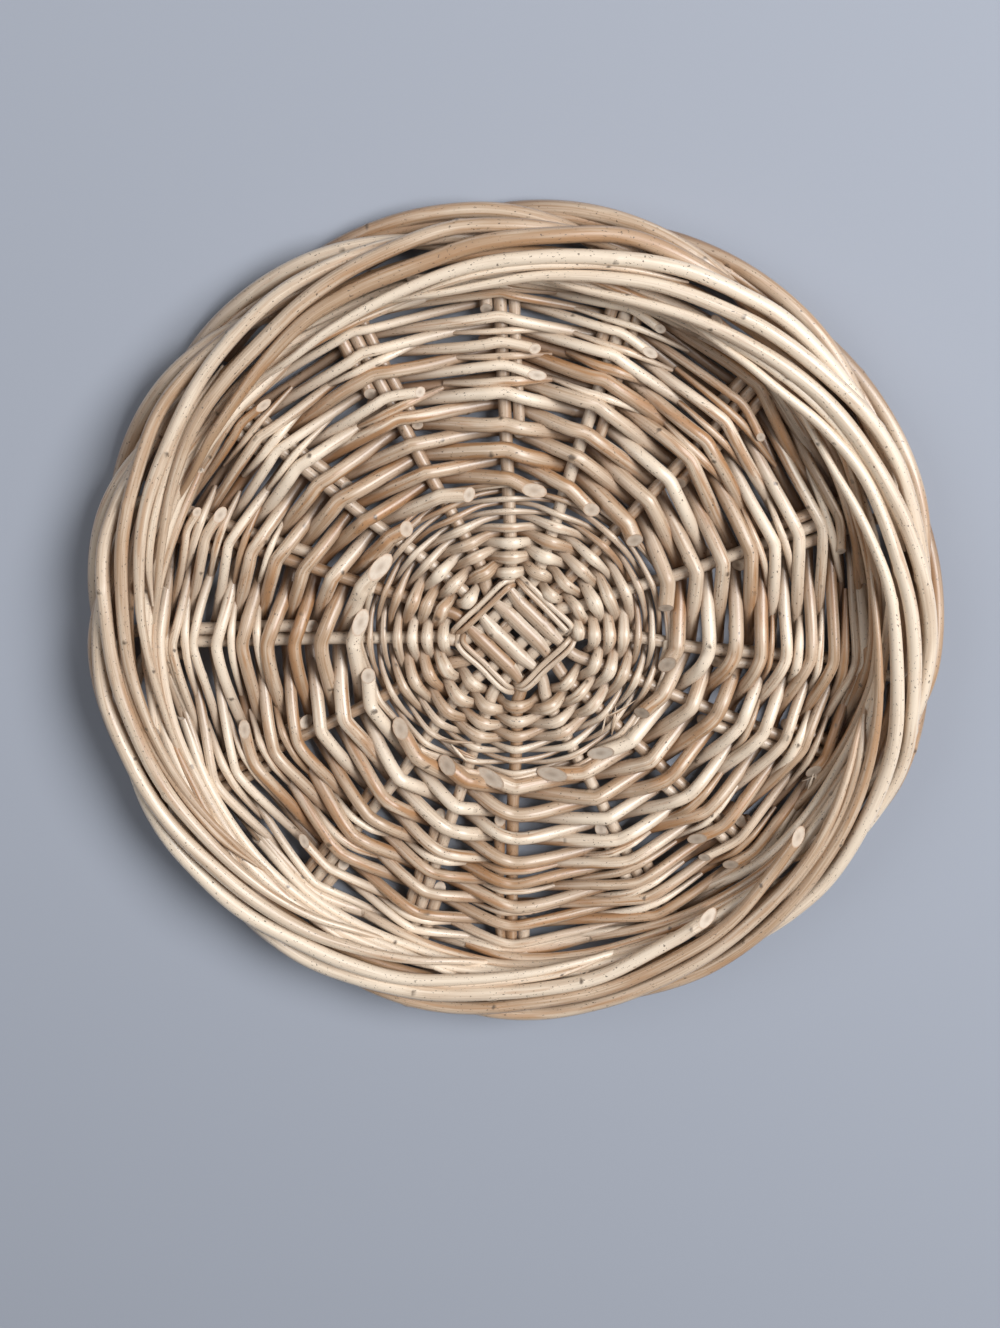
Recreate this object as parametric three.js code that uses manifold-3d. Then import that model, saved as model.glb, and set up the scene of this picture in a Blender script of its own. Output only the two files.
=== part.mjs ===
// Round wicker tray woven from peeled willow rods, lying flat with its open side up.
// Millimetres. The origin is at the middle of the tray, on the surface that it rests on.
// Bearings run counter-clockwise from +X, seen from above.
import * as THREE from "three";
import { mergeVertices } from "three/addons/utils/BufferGeometryUtils.js";
import Module from "manifold-3d";

// Overall sizes
const TRAY_RADIUS = 180;
const RIM_HEIGHT = 36;
const BASE_LIFT = 1.5; // air under the thickest base rod
const GAP = 0.35; // between rods that lie against each other

// Rod diameters
const STICK_D = 5.4;
const STAKE_D = 5;
const BINDING_D = 1.9; // of the pairing strands, where they begin round the cross
const PAIRING_D = 3;
const RAND_BUTT_D = 5.8;
const RAND_TIP_D = 3.8;
const RIDGE_D = 5.8; // ridge stakes on top of the rim, pushed in by their thinner ends
const EDGE_D = 6.2; // outer border rods, pushed in by their thinner ends
const WALE_D = 5;

// Spokes: eight base sticks give sixteen arms, which wander from even spacing
const FIRST_SPOKE_DEG = 2.4;
const SPOKE_DRIFT_DEG = [-7, -4, 0, 2, 0, 2, 3, 1, -1, 2, 5, 2, -3, 1, -1, -2];
const SPOKES = SPOKE_DRIFT_DEG.length;
const SPOKE_STEP = (2 * Math.PI) / SPOKES;
const INNER_DRIFT_SHARE = 0.3; // of the drift, where the sticks leave the cross
const DRIFT_START_R = 32;
const DRIFT_END_R = 80;

// Cross in the middle: four split sticks with four sticks pushed through them
const CROSS_BEARING_DEG = 44;
const CROSS_STICKS = 4;
const CROSS_PITCH = 8.2;
const SHAVED_HALF_HEIGHT = 1.75; // of a pushed-through stick, inside the splits
const SHAVED_RUN_OUT = 1.5; // that the shaved flat goes on past the cross
const SPLIT_WALL = 2.1; // willow left above and below a split
const SPLIT_END_ROOM = 0.9; // from the outer pushed-through stick to the end of a split
const FAN_LEAD = 0.5; // straight run past the cross before the sticks fan out
const FAN_END_R = 32;

// Fine pairing round the cross, then the thicker slanting weave to the rim
const PAIRING_LIFT_RATIO = 1.12; // how far a strand clears a spoke, as a share of touching it
const PAIRING_RUN_SHARE = 0.3; // shortest flat run to each side of a spoke, as a share of the strand
const BINDING_OUT = 3.7; // from the outer stick of the cross to the first binding strand
const CORNER_ROOM = 1.05; // keeps the two strands apart where they cross at the corners of the cross
const RAND_START_R = 68;
const NARROW_SPACE_SHARE = 0.9; // narrowest space between spokes, as a share of the mean
const BUTT_OVERHANG = 7; // past the spoke that a rod starts on
const TIP_OVERHANG = 16;
const CROSSING_RUN_SHARE = 0.36; // flat run over a spoke, as a share of the height above it
const SLANT_PITCH_RATIO = 1.04; // extra row pitch, because the rows run on a slant

// Side stakes, pushed in beside each stick and bent over into the border
const RIDGE_START_SHARES = [0.224, 0.373, 0.324, 0.274]; // of the way across the slanting weave, in turn
const EDGE_START_SHARES = [0.86, 0.62, 0.78, 0.7];
const THICKEN_STOPS = 4; // route stops over which a stake takes its border diameter
const RIDGE_TOP_START = 1.25; // spokes passed when a ridge stake reaches the top of the rim
const RIDGE_TOP_END = 4.1; // and when it ends
const RIDGE_TOP_STEPS = 6;
const RIDGE_EDGE_DROP = 1.4; // the ridge is rounded: its outer and inner strands lie lower

// Border layout, counted in strands laid side by side
const RIDGE_INSET_STRANDS = 1.05; // from the edge rod to the outermost ridge strand
const RIDGE_WIDTH_STRANDS = 4; // from the outermost ridge strand to the end of a ridge stake
const INNER_WALE_INSET_STRANDS = 3.4; // from the outermost ridge strand to each wale rod
const OUTER_WALE_INSET_STRANDS = 2;
const OUTER_WALE_RISE_STRANDS = 0.75; // above the inner wale rod's start

// Facets
const ROD_SIDES = 5;
const STICK_SIDES = 6;
const WALE_STEPS = 32; // to a turn

const radians = THREE.MathUtils.degToRad;
const lerp = THREE.MathUtils.lerp;
const smoothstep = THREE.MathUtils.smoothstep;

// Heights and radii that follow from the driving dimensions
const baseZ = BASE_LIFT + RAND_BUTT_D + GAP + STICK_D / 2;
const strand = STAKE_D + GAP;
const edgeR = TRAY_RADIUS - EDGE_D / 2;
const ridgeR = edgeR - RIDGE_INSET_STRANDS * strand;
const ridgeZ = RIM_HEIGHT - RIDGE_D / 2;
const footZ = (EDGE_D / 2) * Math.cos(Math.PI / ROD_SIDES);
const stakeOffset = (STICK_D + STAKE_D) / 2 + GAP;
const waleInnerR = ridgeR - INNER_WALE_INSET_STRANDS * strand;
const waleOuterR = ridgeR - OUTER_WALE_INSET_STRANDS * strand;
const weaveEndR = waleInnerR - WALE_D / 2 - GAP - RAND_TIP_D / 2;
const stickEndR = weaveEndR;
const crossOuter = ((CROSS_STICKS - 1) / 2) * CROSS_PITCH; // axis of the outer sticks
const crossHalfWidth = crossOuter + STICK_D / 2;
const fanStartR = crossHalfWidth + FAN_LEAD;
const splitHalfLength = crossHalfWidth + SPLIT_END_ROOM;
const splitHalfHeight = SHAVED_HALF_HEIGHT + GAP;
const bindingX = crossHalfWidth + BINDING_OUT;
const bindingY = crossHalfWidth + 2 * GAP;
const bindingCornerR = Math.hypot(bindingX, bindingY + BINDING_D / 2);

// Willow colours
const MATERIALS = {
  stick: new THREE.MeshStandardMaterial({ color: 0xc9ab84, roughness: 0.6, metalness: 0 }),
  pairing: new THREE.MeshStandardMaterial({ color: 0xd8c19c, roughness: 0.6, metalness: 0 }),
  rand: new THREE.MeshStandardMaterial({ color: 0xd2b68c, roughness: 0.5, metalness: 0 }),
  stake: new THREE.MeshStandardMaterial({ color: 0xc6a678, roughness: 0.55, metalness: 0 }),
  wale: new THREE.MeshStandardMaterial({ color: 0xcdb084, roughness: 0.55, metalness: 0 }),
};

const wasm = await Module();
wasm.setup();

const tray = new THREE.Group();
tray.name = "wicker_tray";

function addPiece(name, geometry, material) {
  const mesh = new THREE.Mesh(geometry, material);
  mesh.name = name;
  tray.add(mesh);
}

function polar(r, bearing, z) {
  return new THREE.Vector3(r * Math.cos(bearing), r * Math.sin(bearing), z);
}

// A rod: a cylinder bent along the points, level across, with its own half width and half height at each
function bentRod(rings, sides) {
  const steps = rings.length - 1;
  const up = new THREE.Vector3(0, 0, 1);
  const frames = rings.map((ring, i) => {
    const before = rings[Math.max(i - 1, 0)].at;
    const after = rings[Math.min(i + 1, steps)].at;
    const along = new THREE.Vector3().subVectors(after, before).normalize();
    const across = new THREE.Vector3().crossVectors(up, along).normalize();
    const over = new THREE.Vector3().crossVectors(along, across);
    return { across, over };
  });
  const flatDown = sides % 2 ? 0 : Math.PI / sides;
  const geometry = new THREE.CylinderGeometry(1, 1, 1, sides, steps, false, flatDown);
  const position = geometry.getAttribute("position");
  for (let i = 0; i < position.count; i++) {
    const ring = Math.round((0.5 - position.getY(i)) * steps);
    const { at, halfWidth, halfHeight } = rings[ring];
    const place = at
      .clone()
      .addScaledVector(frames[ring].across, position.getX(i) * halfWidth)
      .addScaledVector(frames[ring].over, position.getZ(i) * halfHeight);
    position.setXYZ(i, place.x, place.y, place.z);
  }
  geometry.deleteAttribute("normal");
  geometry.deleteAttribute("uv");
  return mergeVertices(geometry);
}

function roundRing(at, diameter) {
  return { at, halfWidth: diameter / 2, halfHeight: diameter / 2 };
}

function solidOf(geometry) {
  const merged = mergeVertices(geometry);
  return new wasm.Manifold(
    new wasm.Mesh({
      numProp: 3,
      vertProperties: merged.getAttribute("position").array,
      triVerts: new Uint32Array(merged.index.array),
    }),
  );
}

function geometryOf(solid) {
  const mesh = solid.getMesh();
  return new THREE.BufferGeometry()
    .setAttribute("position", new THREE.BufferAttribute(mesh.vertProperties, 3))
    .setIndex(new THREE.BufferAttribute(mesh.triVerts, 1));
}

// Which way a spoke points at a radius; spokes are counted on past a full turn
function spokeBearing(spoke, r) {
  const index = ((spoke % SPOKES) + SPOKES) % SPOKES;
  const share = lerp(INNER_DRIFT_SHARE, 1, smoothstep(r, DRIFT_START_R, DRIFT_END_R));
  return radians(FIRST_SPOKE_DEG + SPOKE_DRIFT_DEG[index] * share) + spoke * SPOKE_STEP;
}

// Bearing of a place among the spokes, such as 2.5 for halfway between spokes 2 and 3
function bearingAt(place, r) {
  const spoke = Math.floor(place);
  return lerp(spokeBearing(spoke, r), spokeBearing(spoke + 1, r), place - spoke);
}

// Sideways place in the cross of the stick whose arm is this spoke
function crossOffset(spoke) {
  const inGroup = ((spoke % CROSS_STICKS) + CROSS_STICKS) % CROSS_STICKS;
  return (inGroup - (CROSS_STICKS - 1) / 2) * CROSS_PITCH;
}

function groupBearing(group) {
  return radians(CROSS_BEARING_DEG) + (group * Math.PI) / 2;
}

// Sticks run straight and side by side through the cross, then fan out to their spokes
function armBearing(spoke, r) {
  const straight = groupBearing(Math.floor(spoke / CROSS_STICKS)) + Math.asin(crossOffset(spoke) / r);
  return lerp(straight, spokeBearing(spoke, r), smoothstep(r, fanStartR, FAN_END_R));
}

// A split stick swells round its split, from a stick's width inside the end to one outside it
function splitHalfHeightAt(x) {
  const swollen = splitHalfHeight + SPLIT_WALL;
  const out = smoothstep(Math.abs(x), splitHalfLength - STICK_D, splitHalfLength + STICK_D);
  return lerp(swollen, STICK_D / 2, out);
}

// A pushed-through stick is shaved flat where it lies in the splits
function shavedHalfHeightAt(x) {
  const start = crossHalfWidth + SHAVED_RUN_OUT;
  return lerp(SHAVED_HALF_HEIGHT, STICK_D / 2, smoothstep(Math.abs(x), start, start + STICK_D));
}

// Stations along a stick: close together where it bends
const FAN_STATIONS = 6;
const DRIFT_STATIONS = 4;
const CROSS_STATIONS = 5;

function stations(from, to, count) {
  return Array.from({ length: count }, (_, i) => lerp(from, to, i / (count - 1)));
}

const armStartR = fanStartR + 2 * FAN_LEAD;
const crossEndX = Math.sqrt(armStartR ** 2 - crossOuter ** 2) - FAN_LEAD;
const armRadii = [
  ...stations(armStartR, FAN_END_R, FAN_STATIONS),
  ...stations(FAN_END_R, DRIFT_END_R, DRIFT_STATIONS + 1).slice(1),
  stickEndR,
];
const crossXs = stations(-crossEndX, crossEndX, CROSS_STATIONS);

function stickRings(group, inGroup, halfHeightAt) {
  const near = group * CROSS_STICKS + inGroup;
  const far = (group + 2) * CROSS_STICKS + (CROSS_STICKS - 1 - inGroup);
  const direction = groupBearing(group);
  const sideways = crossOffset(near);
  const ringAt = (at, x) => ({ at, halfWidth: STICK_D / 2, halfHeight: halfHeightAt(x) });
  const arm = (spoke) => armRadii.map((r) => ringAt(polar(r, armBearing(spoke, r), baseZ), r));
  const middle = crossXs.map((x) => {
    const at = new THREE.Vector3(x, sideways, baseZ).applyAxisAngle(new THREE.Vector3(0, 0, 1), direction);
    return ringAt(at, x);
  });
  return [...arm(far).reverse(), ...middle, ...arm(near)];
}

function addThreadedSticks() {
  for (let i = 0; i < CROSS_STICKS; i++) {
    const rod = bentRod(stickRings(0, i, shavedHalfHeightAt), STICK_SIDES);
    addPiece(`threaded_stick_${i + 1}`, rod, MATERIALS.stick);
  }
}

function addSplitSticks() {
  for (let i = 0; i < CROSS_STICKS; i++) {
    const rod = bentRod(stickRings(1, i, splitHalfHeightAt), STICK_SIDES);
    const split = new THREE.BoxGeometry(2 * splitHalfLength, 3 * STICK_D, 2 * splitHalfHeight);
    split.deleteAttribute("normal");
    split.deleteAttribute("uv");
    split.translate(0, crossOffset(i), 0);
    split.rotateZ(groupBearing(1));
    split.translate(0, 0, baseZ);
    const pierced = solidOf(rod).subtract(solidOf(split));
    addPiece(`split_stick_${i + 1}`, geometryOf(pierced), MATERIALS.stick);
  }
}

// Binding: the two strands first go round each group of four sticks, one over it and one under
function bindingPoints(strandIndex) {
  const beside = (BINDING_D + GAP) / 2;
  const bindingZ = splitHalfHeightAt(bindingX) + 2 * GAP + BINDING_D / 2;
  const groups = SPOKES / CROSS_STICKS;
  const points = [];
  for (let group = 0; group < groups; group++) {
    const side = (group + strandIndex) % 2 ? -1 : 1;
    for (const y of [-bindingY, bindingY]) {
      const at = new THREE.Vector3(bindingX, y, baseZ + side * bindingZ);
      points.push(at.applyAxisAngle(new THREE.Vector3(0, 0, 1), groupBearing(group)));
    }
    const last = group * CROSS_STICKS + CROSS_STICKS - 1;
    const outward = group < groups - 1 ? side : -side; // strands change places to go on to the pairing
    const cornerR = bindingCornerR + outward * (beside + CORNER_ROOM);
    const corner = (armBearing(last, cornerR) + armBearing(last + 1, cornerR)) / 2;
    points.push(polar(cornerR, corner, baseZ));
  }
  return points;
}

// Pairing: the strands then twist round each spoke in turn, the second half a row outside the first
function pairingPoints(strandIndex) {
  const clear = STICK_D / 2 + GAP + PAIRING_D / 2;
  const height = PAIRING_LIFT_RATIO * clear;
  const rowPitch = 2 * (PAIRING_D + GAP);
  const lastR = RAND_START_R - RAND_BUTT_D - PAIRING_D / 2 - GAP;
  const rows = (lastR - FAN_END_R) / rowPitch - 0.5;
  const crossings = Math.floor(rows * SPOKES);
  const radiusAt = (place) => FAN_END_R + rowPitch * (place / SPOKES + strandIndex / 2);
  const points = [];
  for (let i = 0; i <= crossings; i++) {
    const side = (i + strandIndex) % 2 ? -1 : 1;
    const r = radiusAt(i);
    const halfGap = (NARROW_SPACE_SHARE * r * SPOKE_STEP) / 2;
    const slopeRun = height * Math.sqrt((halfGap / clear) ** 2 - 1); // steepest run that clears the spoke
    const run = Math.max(halfGap - slopeRun, PAIRING_RUN_SHARE * PAIRING_D);
    for (const along of [-run, run]) {
      points.push(polar(r, bearingAt(i, r) + along / r, baseZ + side * height));
    }
    if (i < crossings) {
      const between = radiusAt(i + 0.5);
      points.push(polar(between, bearingAt(i + 0.5, between), baseZ));
    }
  }
  return points;
}

function addPairing() {
  for (let i = 0; i < 2; i++) {
    const binding = bindingPoints(i).map((at) => roundRing(at, BINDING_D));
    const pairing = pairingPoints(i).map((at) => roundRing(at, PAIRING_D));
    addPiece(`pairing_weaver_${i + 1}`, bentRod([...binding, ...pairing], ROD_SIDES), MATERIALS.pairing);
  }
}

function stakeStartR(spoke, shares) {
  return lerp(RAND_START_R, weaveEndR, shares[spoke % shares.length]);
}

// Slanting weave: one thick rod starts on each spoke and moves out by a row at each spoke that it passes
const randMeanPitch = (SLANT_PITCH_RATIO * (RAND_BUTT_D + RAND_TIP_D)) / 2 + GAP;
const randStrokes = Math.floor((weaveEndR - RAND_START_R) / randMeanPitch);

function randDiameter(stroke) {
  return lerp(RAND_BUTT_D, RAND_TIP_D, THREE.MathUtils.clamp(stroke / randStrokes, 0, 1));
}

function randRadius(stroke) {
  const taper = ((RAND_TIP_D - RAND_BUTT_D) * stroke) / (2 * randStrokes);
  return RAND_START_R + stroke * (SLANT_PITCH_RATIO * (RAND_BUTT_D + taper) + GAP);
}

function randRings(firstSpoke) {
  const rings = [];
  for (let stroke = 0; stroke <= randStrokes; stroke++) {
    const spoke = firstSpoke + stroke;
    const diameter = randDiameter(stroke);
    const r = randRadius(stroke);
    const height = STICK_D / 2 + GAP + diameter / 2;
    const stakesHere = r + diameter > stakeStartR(spoke, RIDGE_START_SHARES);
    const run = CROSSING_RUN_SHARE * height + (stakesHere ? stakeOffset : 0);
    const rise = randRadius(stroke + 0.5) - randRadius(stroke - 0.5);
    const slope = rise / (r * SPOKE_STEP);
    const before = stroke === 0 ? BUTT_OVERHANG : run;
    const after = stroke === randStrokes ? run + TIP_OVERHANG : run;
    const z = baseZ + (stroke % 2 ? -height : height);
    for (const along of [-before, after]) {
      const at = polar(r + along * slope, spokeBearing(spoke, r) + along / r, z);
      rings.push(roundRing(at, diameter));
    }
  }
  return rings;
}

function addRand() {
  for (let spoke = 0; spoke < SPOKES; spoke++) {
    addPiece(`rand_weaver_${spoke + 1}`, bentRod(randRings(spoke), ROD_SIDES), MATERIALS.rand);
  }
}

// A side stake lies beside its stick as far as the weave's edge, then follows its border route.
// A route stop has: spokes passed, share of the sideways offset kept, radius and height.
function stakeRings(spoke, side, start, stops, borderD) {
  const straight = [start, weaveEndR].map((r) => {
    return polar(r, spokeBearing(spoke, r) + (side * stakeOffset) / r, baseZ);
  });
  const border = stops.map(([passed, offset, r, z]) => {
    return polar(r, bearingAt(spoke + passed, r) + (side * offset * stakeOffset) / r, z);
  });
  const stakeEnd = straight.map((at) => roundRing(at, STAKE_D));
  const borderEnd = border.map((at, i) => {
    return roundRing(at, lerp(STAKE_D, borderD, smoothstep(i, 0, THICKEN_STOPS)));
  });
  return [...stakeEnd, ...borderEnd];
}

// Both routes are laid out by eye, in strands from the edge or the ridge.
// Ridge stakes rise outside the wale on a slant, then run along the top of the rim and move inwards
function ridgeStops() {
  const heightAt = (share) => lerp(baseZ, ridgeZ, share);
  const stops = [
    [0, 1, ridgeR - 2.8 * strand, heightAt(0.03)],
    [0.02, 1, ridgeR - 1.5 * strand, heightAt(0.15)],
    [0.15, 0.7, ridgeR - 0.95 * strand, heightAt(0.34)],
    [0.35, 0.3, ridgeR - 0.5 * strand, heightAt(0.52)],
    [0.6, 0, ridgeR - 0.2 * strand, heightAt(0.67)],
    [0.9, 0, ridgeR, heightAt(0.81)],
  ];
  for (let i = 0; i <= RIDGE_TOP_STEPS; i++) {
    const share = i / RIDGE_TOP_STEPS;
    const passed = lerp(RIDGE_TOP_START, RIDGE_TOP_END, share);
    const drop = RIDGE_EDGE_DROP * (2 * share - 1) ** 4;
    stops.push([passed, 0, ridgeR - share * RIDGE_WIDTH_STRANDS * strand, ridgeZ - drop]);
  }
  return stops;
}

// Edge stakes pass under the ridge, round the outside of the rim and back under it as its foot
function edgeStops() {
  return [
    [0, 1, edgeR - 3.9 * strand, baseZ + 0.1 * strand],
    [0.18, 0.8, edgeR - 2.7 * strand, baseZ + 0.6 * strand],
    [0.42, 0.3, edgeR - 1.65 * strand, baseZ + 1.2 * strand],
    [0.7, 0, edgeR - 0.8 * strand, baseZ + 1.5 * strand],
    [1, 0, edgeR - 0.2 * strand, baseZ + 1.3 * strand],
    [1.3, 0, edgeR, baseZ + 0.65 * strand],
    [1.6, 0, edgeR - 0.05 * strand, lerp(baseZ, footZ, 0.05)],
    [1.9, 0, edgeR - 0.35 * strand, lerp(baseZ, footZ, 0.5)],
    [2.15, 0, edgeR - 0.9 * strand, lerp(baseZ, footZ, 0.82)],
    [2.35, 0, edgeR - 1.4 * strand, footZ],
    [2.55, 0, edgeR - 1.8 * strand, footZ],
    [2.75, 0, edgeR - 2.2 * strand, footZ],
  ];
}

function addStakes() {
  const ridge = ridgeStops();
  const edge = edgeStops();
  for (let spoke = 0; spoke < SPOKES; spoke++) {
    const ridgeStart = stakeStartR(spoke, RIDGE_START_SHARES);
    const edgeStart = stakeStartR(spoke, EDGE_START_SHARES);
    const ridgeRod = bentRod(stakeRings(spoke, -1, ridgeStart, ridge, RIDGE_D), ROD_SIDES);
    const edgeRod = bentRod(stakeRings(spoke, 1, edgeStart, edge, EDGE_D), ROD_SIDES);
    addPiece(`ridge_stake_${spoke + 1}`, ridgeRod, MATERIALS.stake);
    addPiece(`edge_stake_${spoke + 1}`, edgeRod, MATERIALS.stake);
  }
}

// Wale: rods coiled on the stakes, inside the roll of the border
function waleRings(r, lowZ, highZ) {
  const pitch = WALE_D + GAP;
  const steps = Math.floor(((highZ - lowZ) / pitch) * WALE_STEPS);
  const rings = [];
  for (let i = 0; i <= steps; i++) {
    const turn = i / WALE_STEPS;
    rings.push(roundRing(polar(r, turn * 2 * Math.PI, lowZ + turn * pitch), WALE_D));
  }
  return rings;
}

function addWale() {
  const onStakes = baseZ + (STAKE_D + WALE_D) / 2 + GAP;
  const underRidge = ridgeZ - (RIDGE_D + WALE_D) / 2 - GAP;
  const inner = waleRings(waleInnerR, onStakes, underRidge - RIDGE_EDGE_DROP / 2);
  const outer = waleRings(waleOuterR, onStakes + OUTER_WALE_RISE_STRANDS * strand, underRidge);
  addPiece("wale_rod_inner", bentRod(inner, ROD_SIDES), MATERIALS.wale);
  addPiece("wale_rod_outer", bentRod(outer, ROD_SIDES), MATERIALS.wale);
}

addThreadedSticks();
addSplitSticks();
addPairing();
addRand();
addStakes();
addWale();

export default tray;
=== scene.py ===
"""Round wicker tray: every rod of the frame as a willow rod with its own taper, bends, knots and cut ends."""

import math
import random
from collections import namedtuple
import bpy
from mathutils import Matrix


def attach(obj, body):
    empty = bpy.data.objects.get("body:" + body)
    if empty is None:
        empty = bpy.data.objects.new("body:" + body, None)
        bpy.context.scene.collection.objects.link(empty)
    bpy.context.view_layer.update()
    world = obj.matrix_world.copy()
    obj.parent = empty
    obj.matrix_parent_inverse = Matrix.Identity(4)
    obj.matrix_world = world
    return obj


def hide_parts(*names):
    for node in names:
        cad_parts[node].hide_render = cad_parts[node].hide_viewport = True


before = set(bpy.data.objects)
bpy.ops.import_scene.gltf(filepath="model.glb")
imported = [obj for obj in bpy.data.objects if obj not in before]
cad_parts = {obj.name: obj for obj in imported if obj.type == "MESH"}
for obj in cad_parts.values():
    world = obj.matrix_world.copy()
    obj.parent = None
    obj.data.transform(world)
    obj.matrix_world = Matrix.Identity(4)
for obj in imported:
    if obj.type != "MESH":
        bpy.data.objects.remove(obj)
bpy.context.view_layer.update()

from types import SimpleNamespace

import bmesh
import bpy
from bpy.props import FloatProperty, FloatVectorProperty, IntProperty, PointerProperty
from mathutils import Matrix, Vector, noise

bl_info = {
    "name": "Wicker Tray",
    "version": (1, 0, 0),
    "blender": (4, 5, 0),
    "location": "View3D > Sidebar > Wicker Tray",
    "description": "Weaves a round willow tray, rod by rod",
    "category": "Add Mesh",
}

# How the tray is woven: counts, bearings and shares
SPOKE_DRIFT_DEG = (-7, -4, 0, 2, 0, 2, 3, 1, -1, 2, 5, 2, -3, 1, -1, -2)
SPOKES = len(SPOKE_DRIFT_DEG)
SPOKE_STEP = 2 * math.pi / SPOKES
FIRST_SPOKE_DEG = 2.4
INNER_DRIFT_SHARE = 0.3
CROSS_BEARING_DEG = 44
CROSS_STICKS = 4
SLANT_PITCH_RATIO = 1.04
STAKE_START_SHARES = (0.224, 0.373, 0.324, 0.274)
RIDGE_INSET_STRANDS = 1.05
INNER_WALE_INSET_STRANDS = 3.4
OUTER_WALE_INSET_STRANDS = 2
OUTER_WALE_RISE_STRANDS = 0.75
RIDGE_SPAN_SPOKES = 4.1

# The stroke at which a new rod is joined on to each slanting row: always one that lies on top
JOIN_STROKES = (14, 14, 12, 14, 10, 14, 12, 12, 14, 14, 10, 12, 8, 8, 12, 10)

EDGE_GIRTH = (1.0, 1.12)  # thinnest and thickest edge rod, as shares of its size
FOOT_CLEARANCE = 0.0004  # for the wobble of the rods that the tray rests on

UP = Vector((0, 0, 1))
PHOTO_SIZE = (1000, 1328)

# A place on a rod's middle line, with the rod's half width and half height there
Stop = namedtuple("Stop", "at width height")


def length_property(name, description, default):
    return FloatProperty(name=name, description=description, default=default, unit="LENGTH")


def colour_property(name, description, default):
    return FloatVectorProperty(name=name, description=description, default=default, subtype="COLOR")


class TraySizes(bpy.types.PropertyGroup):
    """Sizes of the tray and of its rods."""

    tray_radius: length_property("Tray Radius", "Middle to outer edge", 0.180)
    rim_height: length_property("Rim Height", "Floor to top of ridge", 0.036)
    base_lift: length_property("Base Lift", "Air under the weave", 0.0015)
    gap: length_property("Gap", "Between rods side by side", 0.00035)
    stick: length_property("Stick", "Base stick diameter", 0.0054)
    stake: length_property("Stake", "Side stake diameter", 0.005)
    ridge: length_property("Ridge Strand", "Width on top of the rim", 0.0060)
    edge: length_property("Edge Rod", "Outer border rod diameter", 0.0062)
    wale: length_property("Wale Rod", "Wale rod diameter", 0.005)
    rand_butt: length_property("Rand Butt", "Weaver's thick end", 0.0058)
    rand_tip: length_property("Rand Tip", "Weaver's thin end", 0.0038)
    rand_start: length_property("Rand Start", "Where slanting rows begin", 0.068)
    butt_overhang: length_property("Butt Overhang", "Past its first spoke", 0.007)
    pairing_first: length_property("First Pairing", "Inner strand width", 0.0052)
    pairing_last: length_property("Last Pairing", "Outer strand width", 0.0026)
    pairing_start: length_property("Pairing Start", "First row's radius", 0.0245)
    pairing_end: length_property("Pairing End", "Last row's radius", 0.0635)
    pairing_rows: IntProperty(name="Pairing Rows", description="Rows round single spokes", default=6)
    cross_pitch: length_property("Cross Pitch", "Between cross sticks", 0.0082)
    shaved: length_property("Shaved Stick", "Half height in the split", 0.00175)
    split_wall: length_property("Split Wall", "Willow beside a split", 0.0021)
    fan_end: length_property("Fan End", "Where arms reach their bearing", 0.032)
    ridge_drop: length_property("Ridge Drop", "Ridge middle to its edge", 0.0014)


class WillowColours(bpy.types.PropertyGroup):
    """Colours of the willow and of the floor."""

    pale: colour_property("Pale Willow", "Light skin", (0.82, 0.68, 0.53))
    deep: colour_property("Deep Willow", "Dark skin", (0.42, 0.265, 0.155))
    stain: colour_property("Stain", "Tannin streaks", (0.40, 0.19, 0.07))
    speck: colour_property("Speck", "Bark flecks", (0.09, 0.055, 0.03))
    # Painted shade: the dark colour laid on rods that lie low in the weave, standing in for the shade between
    # them
    painted_shade: colour_property("Painted_Shade", "Hollows of the weave", (0.16, 0.072, 0.028))
    pith: colour_property("Pith", "Middle of a cut", (0.36, 0.27, 0.20))
    cut: colour_property("Cut Wood", "Cut rod end", (0.66, 0.56, 0.46))
    floor: colour_property("Floor", "Plain floor", (0.35, 0.375, 0.435))


def lerp(start, end, share):
    return start + (end - start) * share


def smoothstep(value, low, high):
    share = min(max((value - low) / (high - low), 0), 1)
    return share * share * (3 - 2 * share)


def polar(radius, bearing, z):
    return Vector((radius * math.cos(bearing), radius * math.sin(bearing), z))


def round_stop(at, diameter):
    return Stop(at, diameter / 2, diameter / 2)


def layout(sizes):
    """Heights and radii that follow from the sizes, as the frame has them."""
    spot = SimpleNamespace()
    spot.base_z = sizes.base_lift + sizes.rand_butt + sizes.gap + sizes.stick / 2
    spot.strand = sizes.stake + sizes.gap
    spot.edge_r = sizes.tray_radius - sizes.edge / 2
    spot.ridge_r = spot.edge_r - RIDGE_INSET_STRANDS * spot.strand
    spot.ridge_z = sizes.rim_height - sizes.ridge / 2
    spot.foot_z = sizes.edge * EDGE_GIRTH[1] / 2 + FOOT_CLEARANCE
    spot.stake_offset = (sizes.stick + sizes.stake) / 2 + sizes.gap
    spot.wale_inner_r = spot.ridge_r - INNER_WALE_INSET_STRANDS * spot.strand
    spot.wale_outer_r = spot.ridge_r - OUTER_WALE_INSET_STRANDS * spot.strand
    spot.weave_end = spot.wale_inner_r - sizes.wale / 2 - sizes.gap - sizes.rand_tip / 2
    spot.cross_half_width = (CROSS_STICKS - 1) / 2 * sizes.cross_pitch + sizes.stick / 2
    spot.fan_start = spot.cross_half_width + sizes.gap
    return spot


# Bearings of the spokes, which wander from even spacing
DRIFT_START_R = 0.032
DRIFT_END_R = 0.080


def spoke_bearing(spoke, radius):
    share = lerp(INNER_DRIFT_SHARE, 1, smoothstep(radius, DRIFT_START_R, DRIFT_END_R))
    drift = SPOKE_DRIFT_DEG[spoke % SPOKES] * share
    return math.radians(FIRST_SPOKE_DEG + drift) + spoke * SPOKE_STEP


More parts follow.
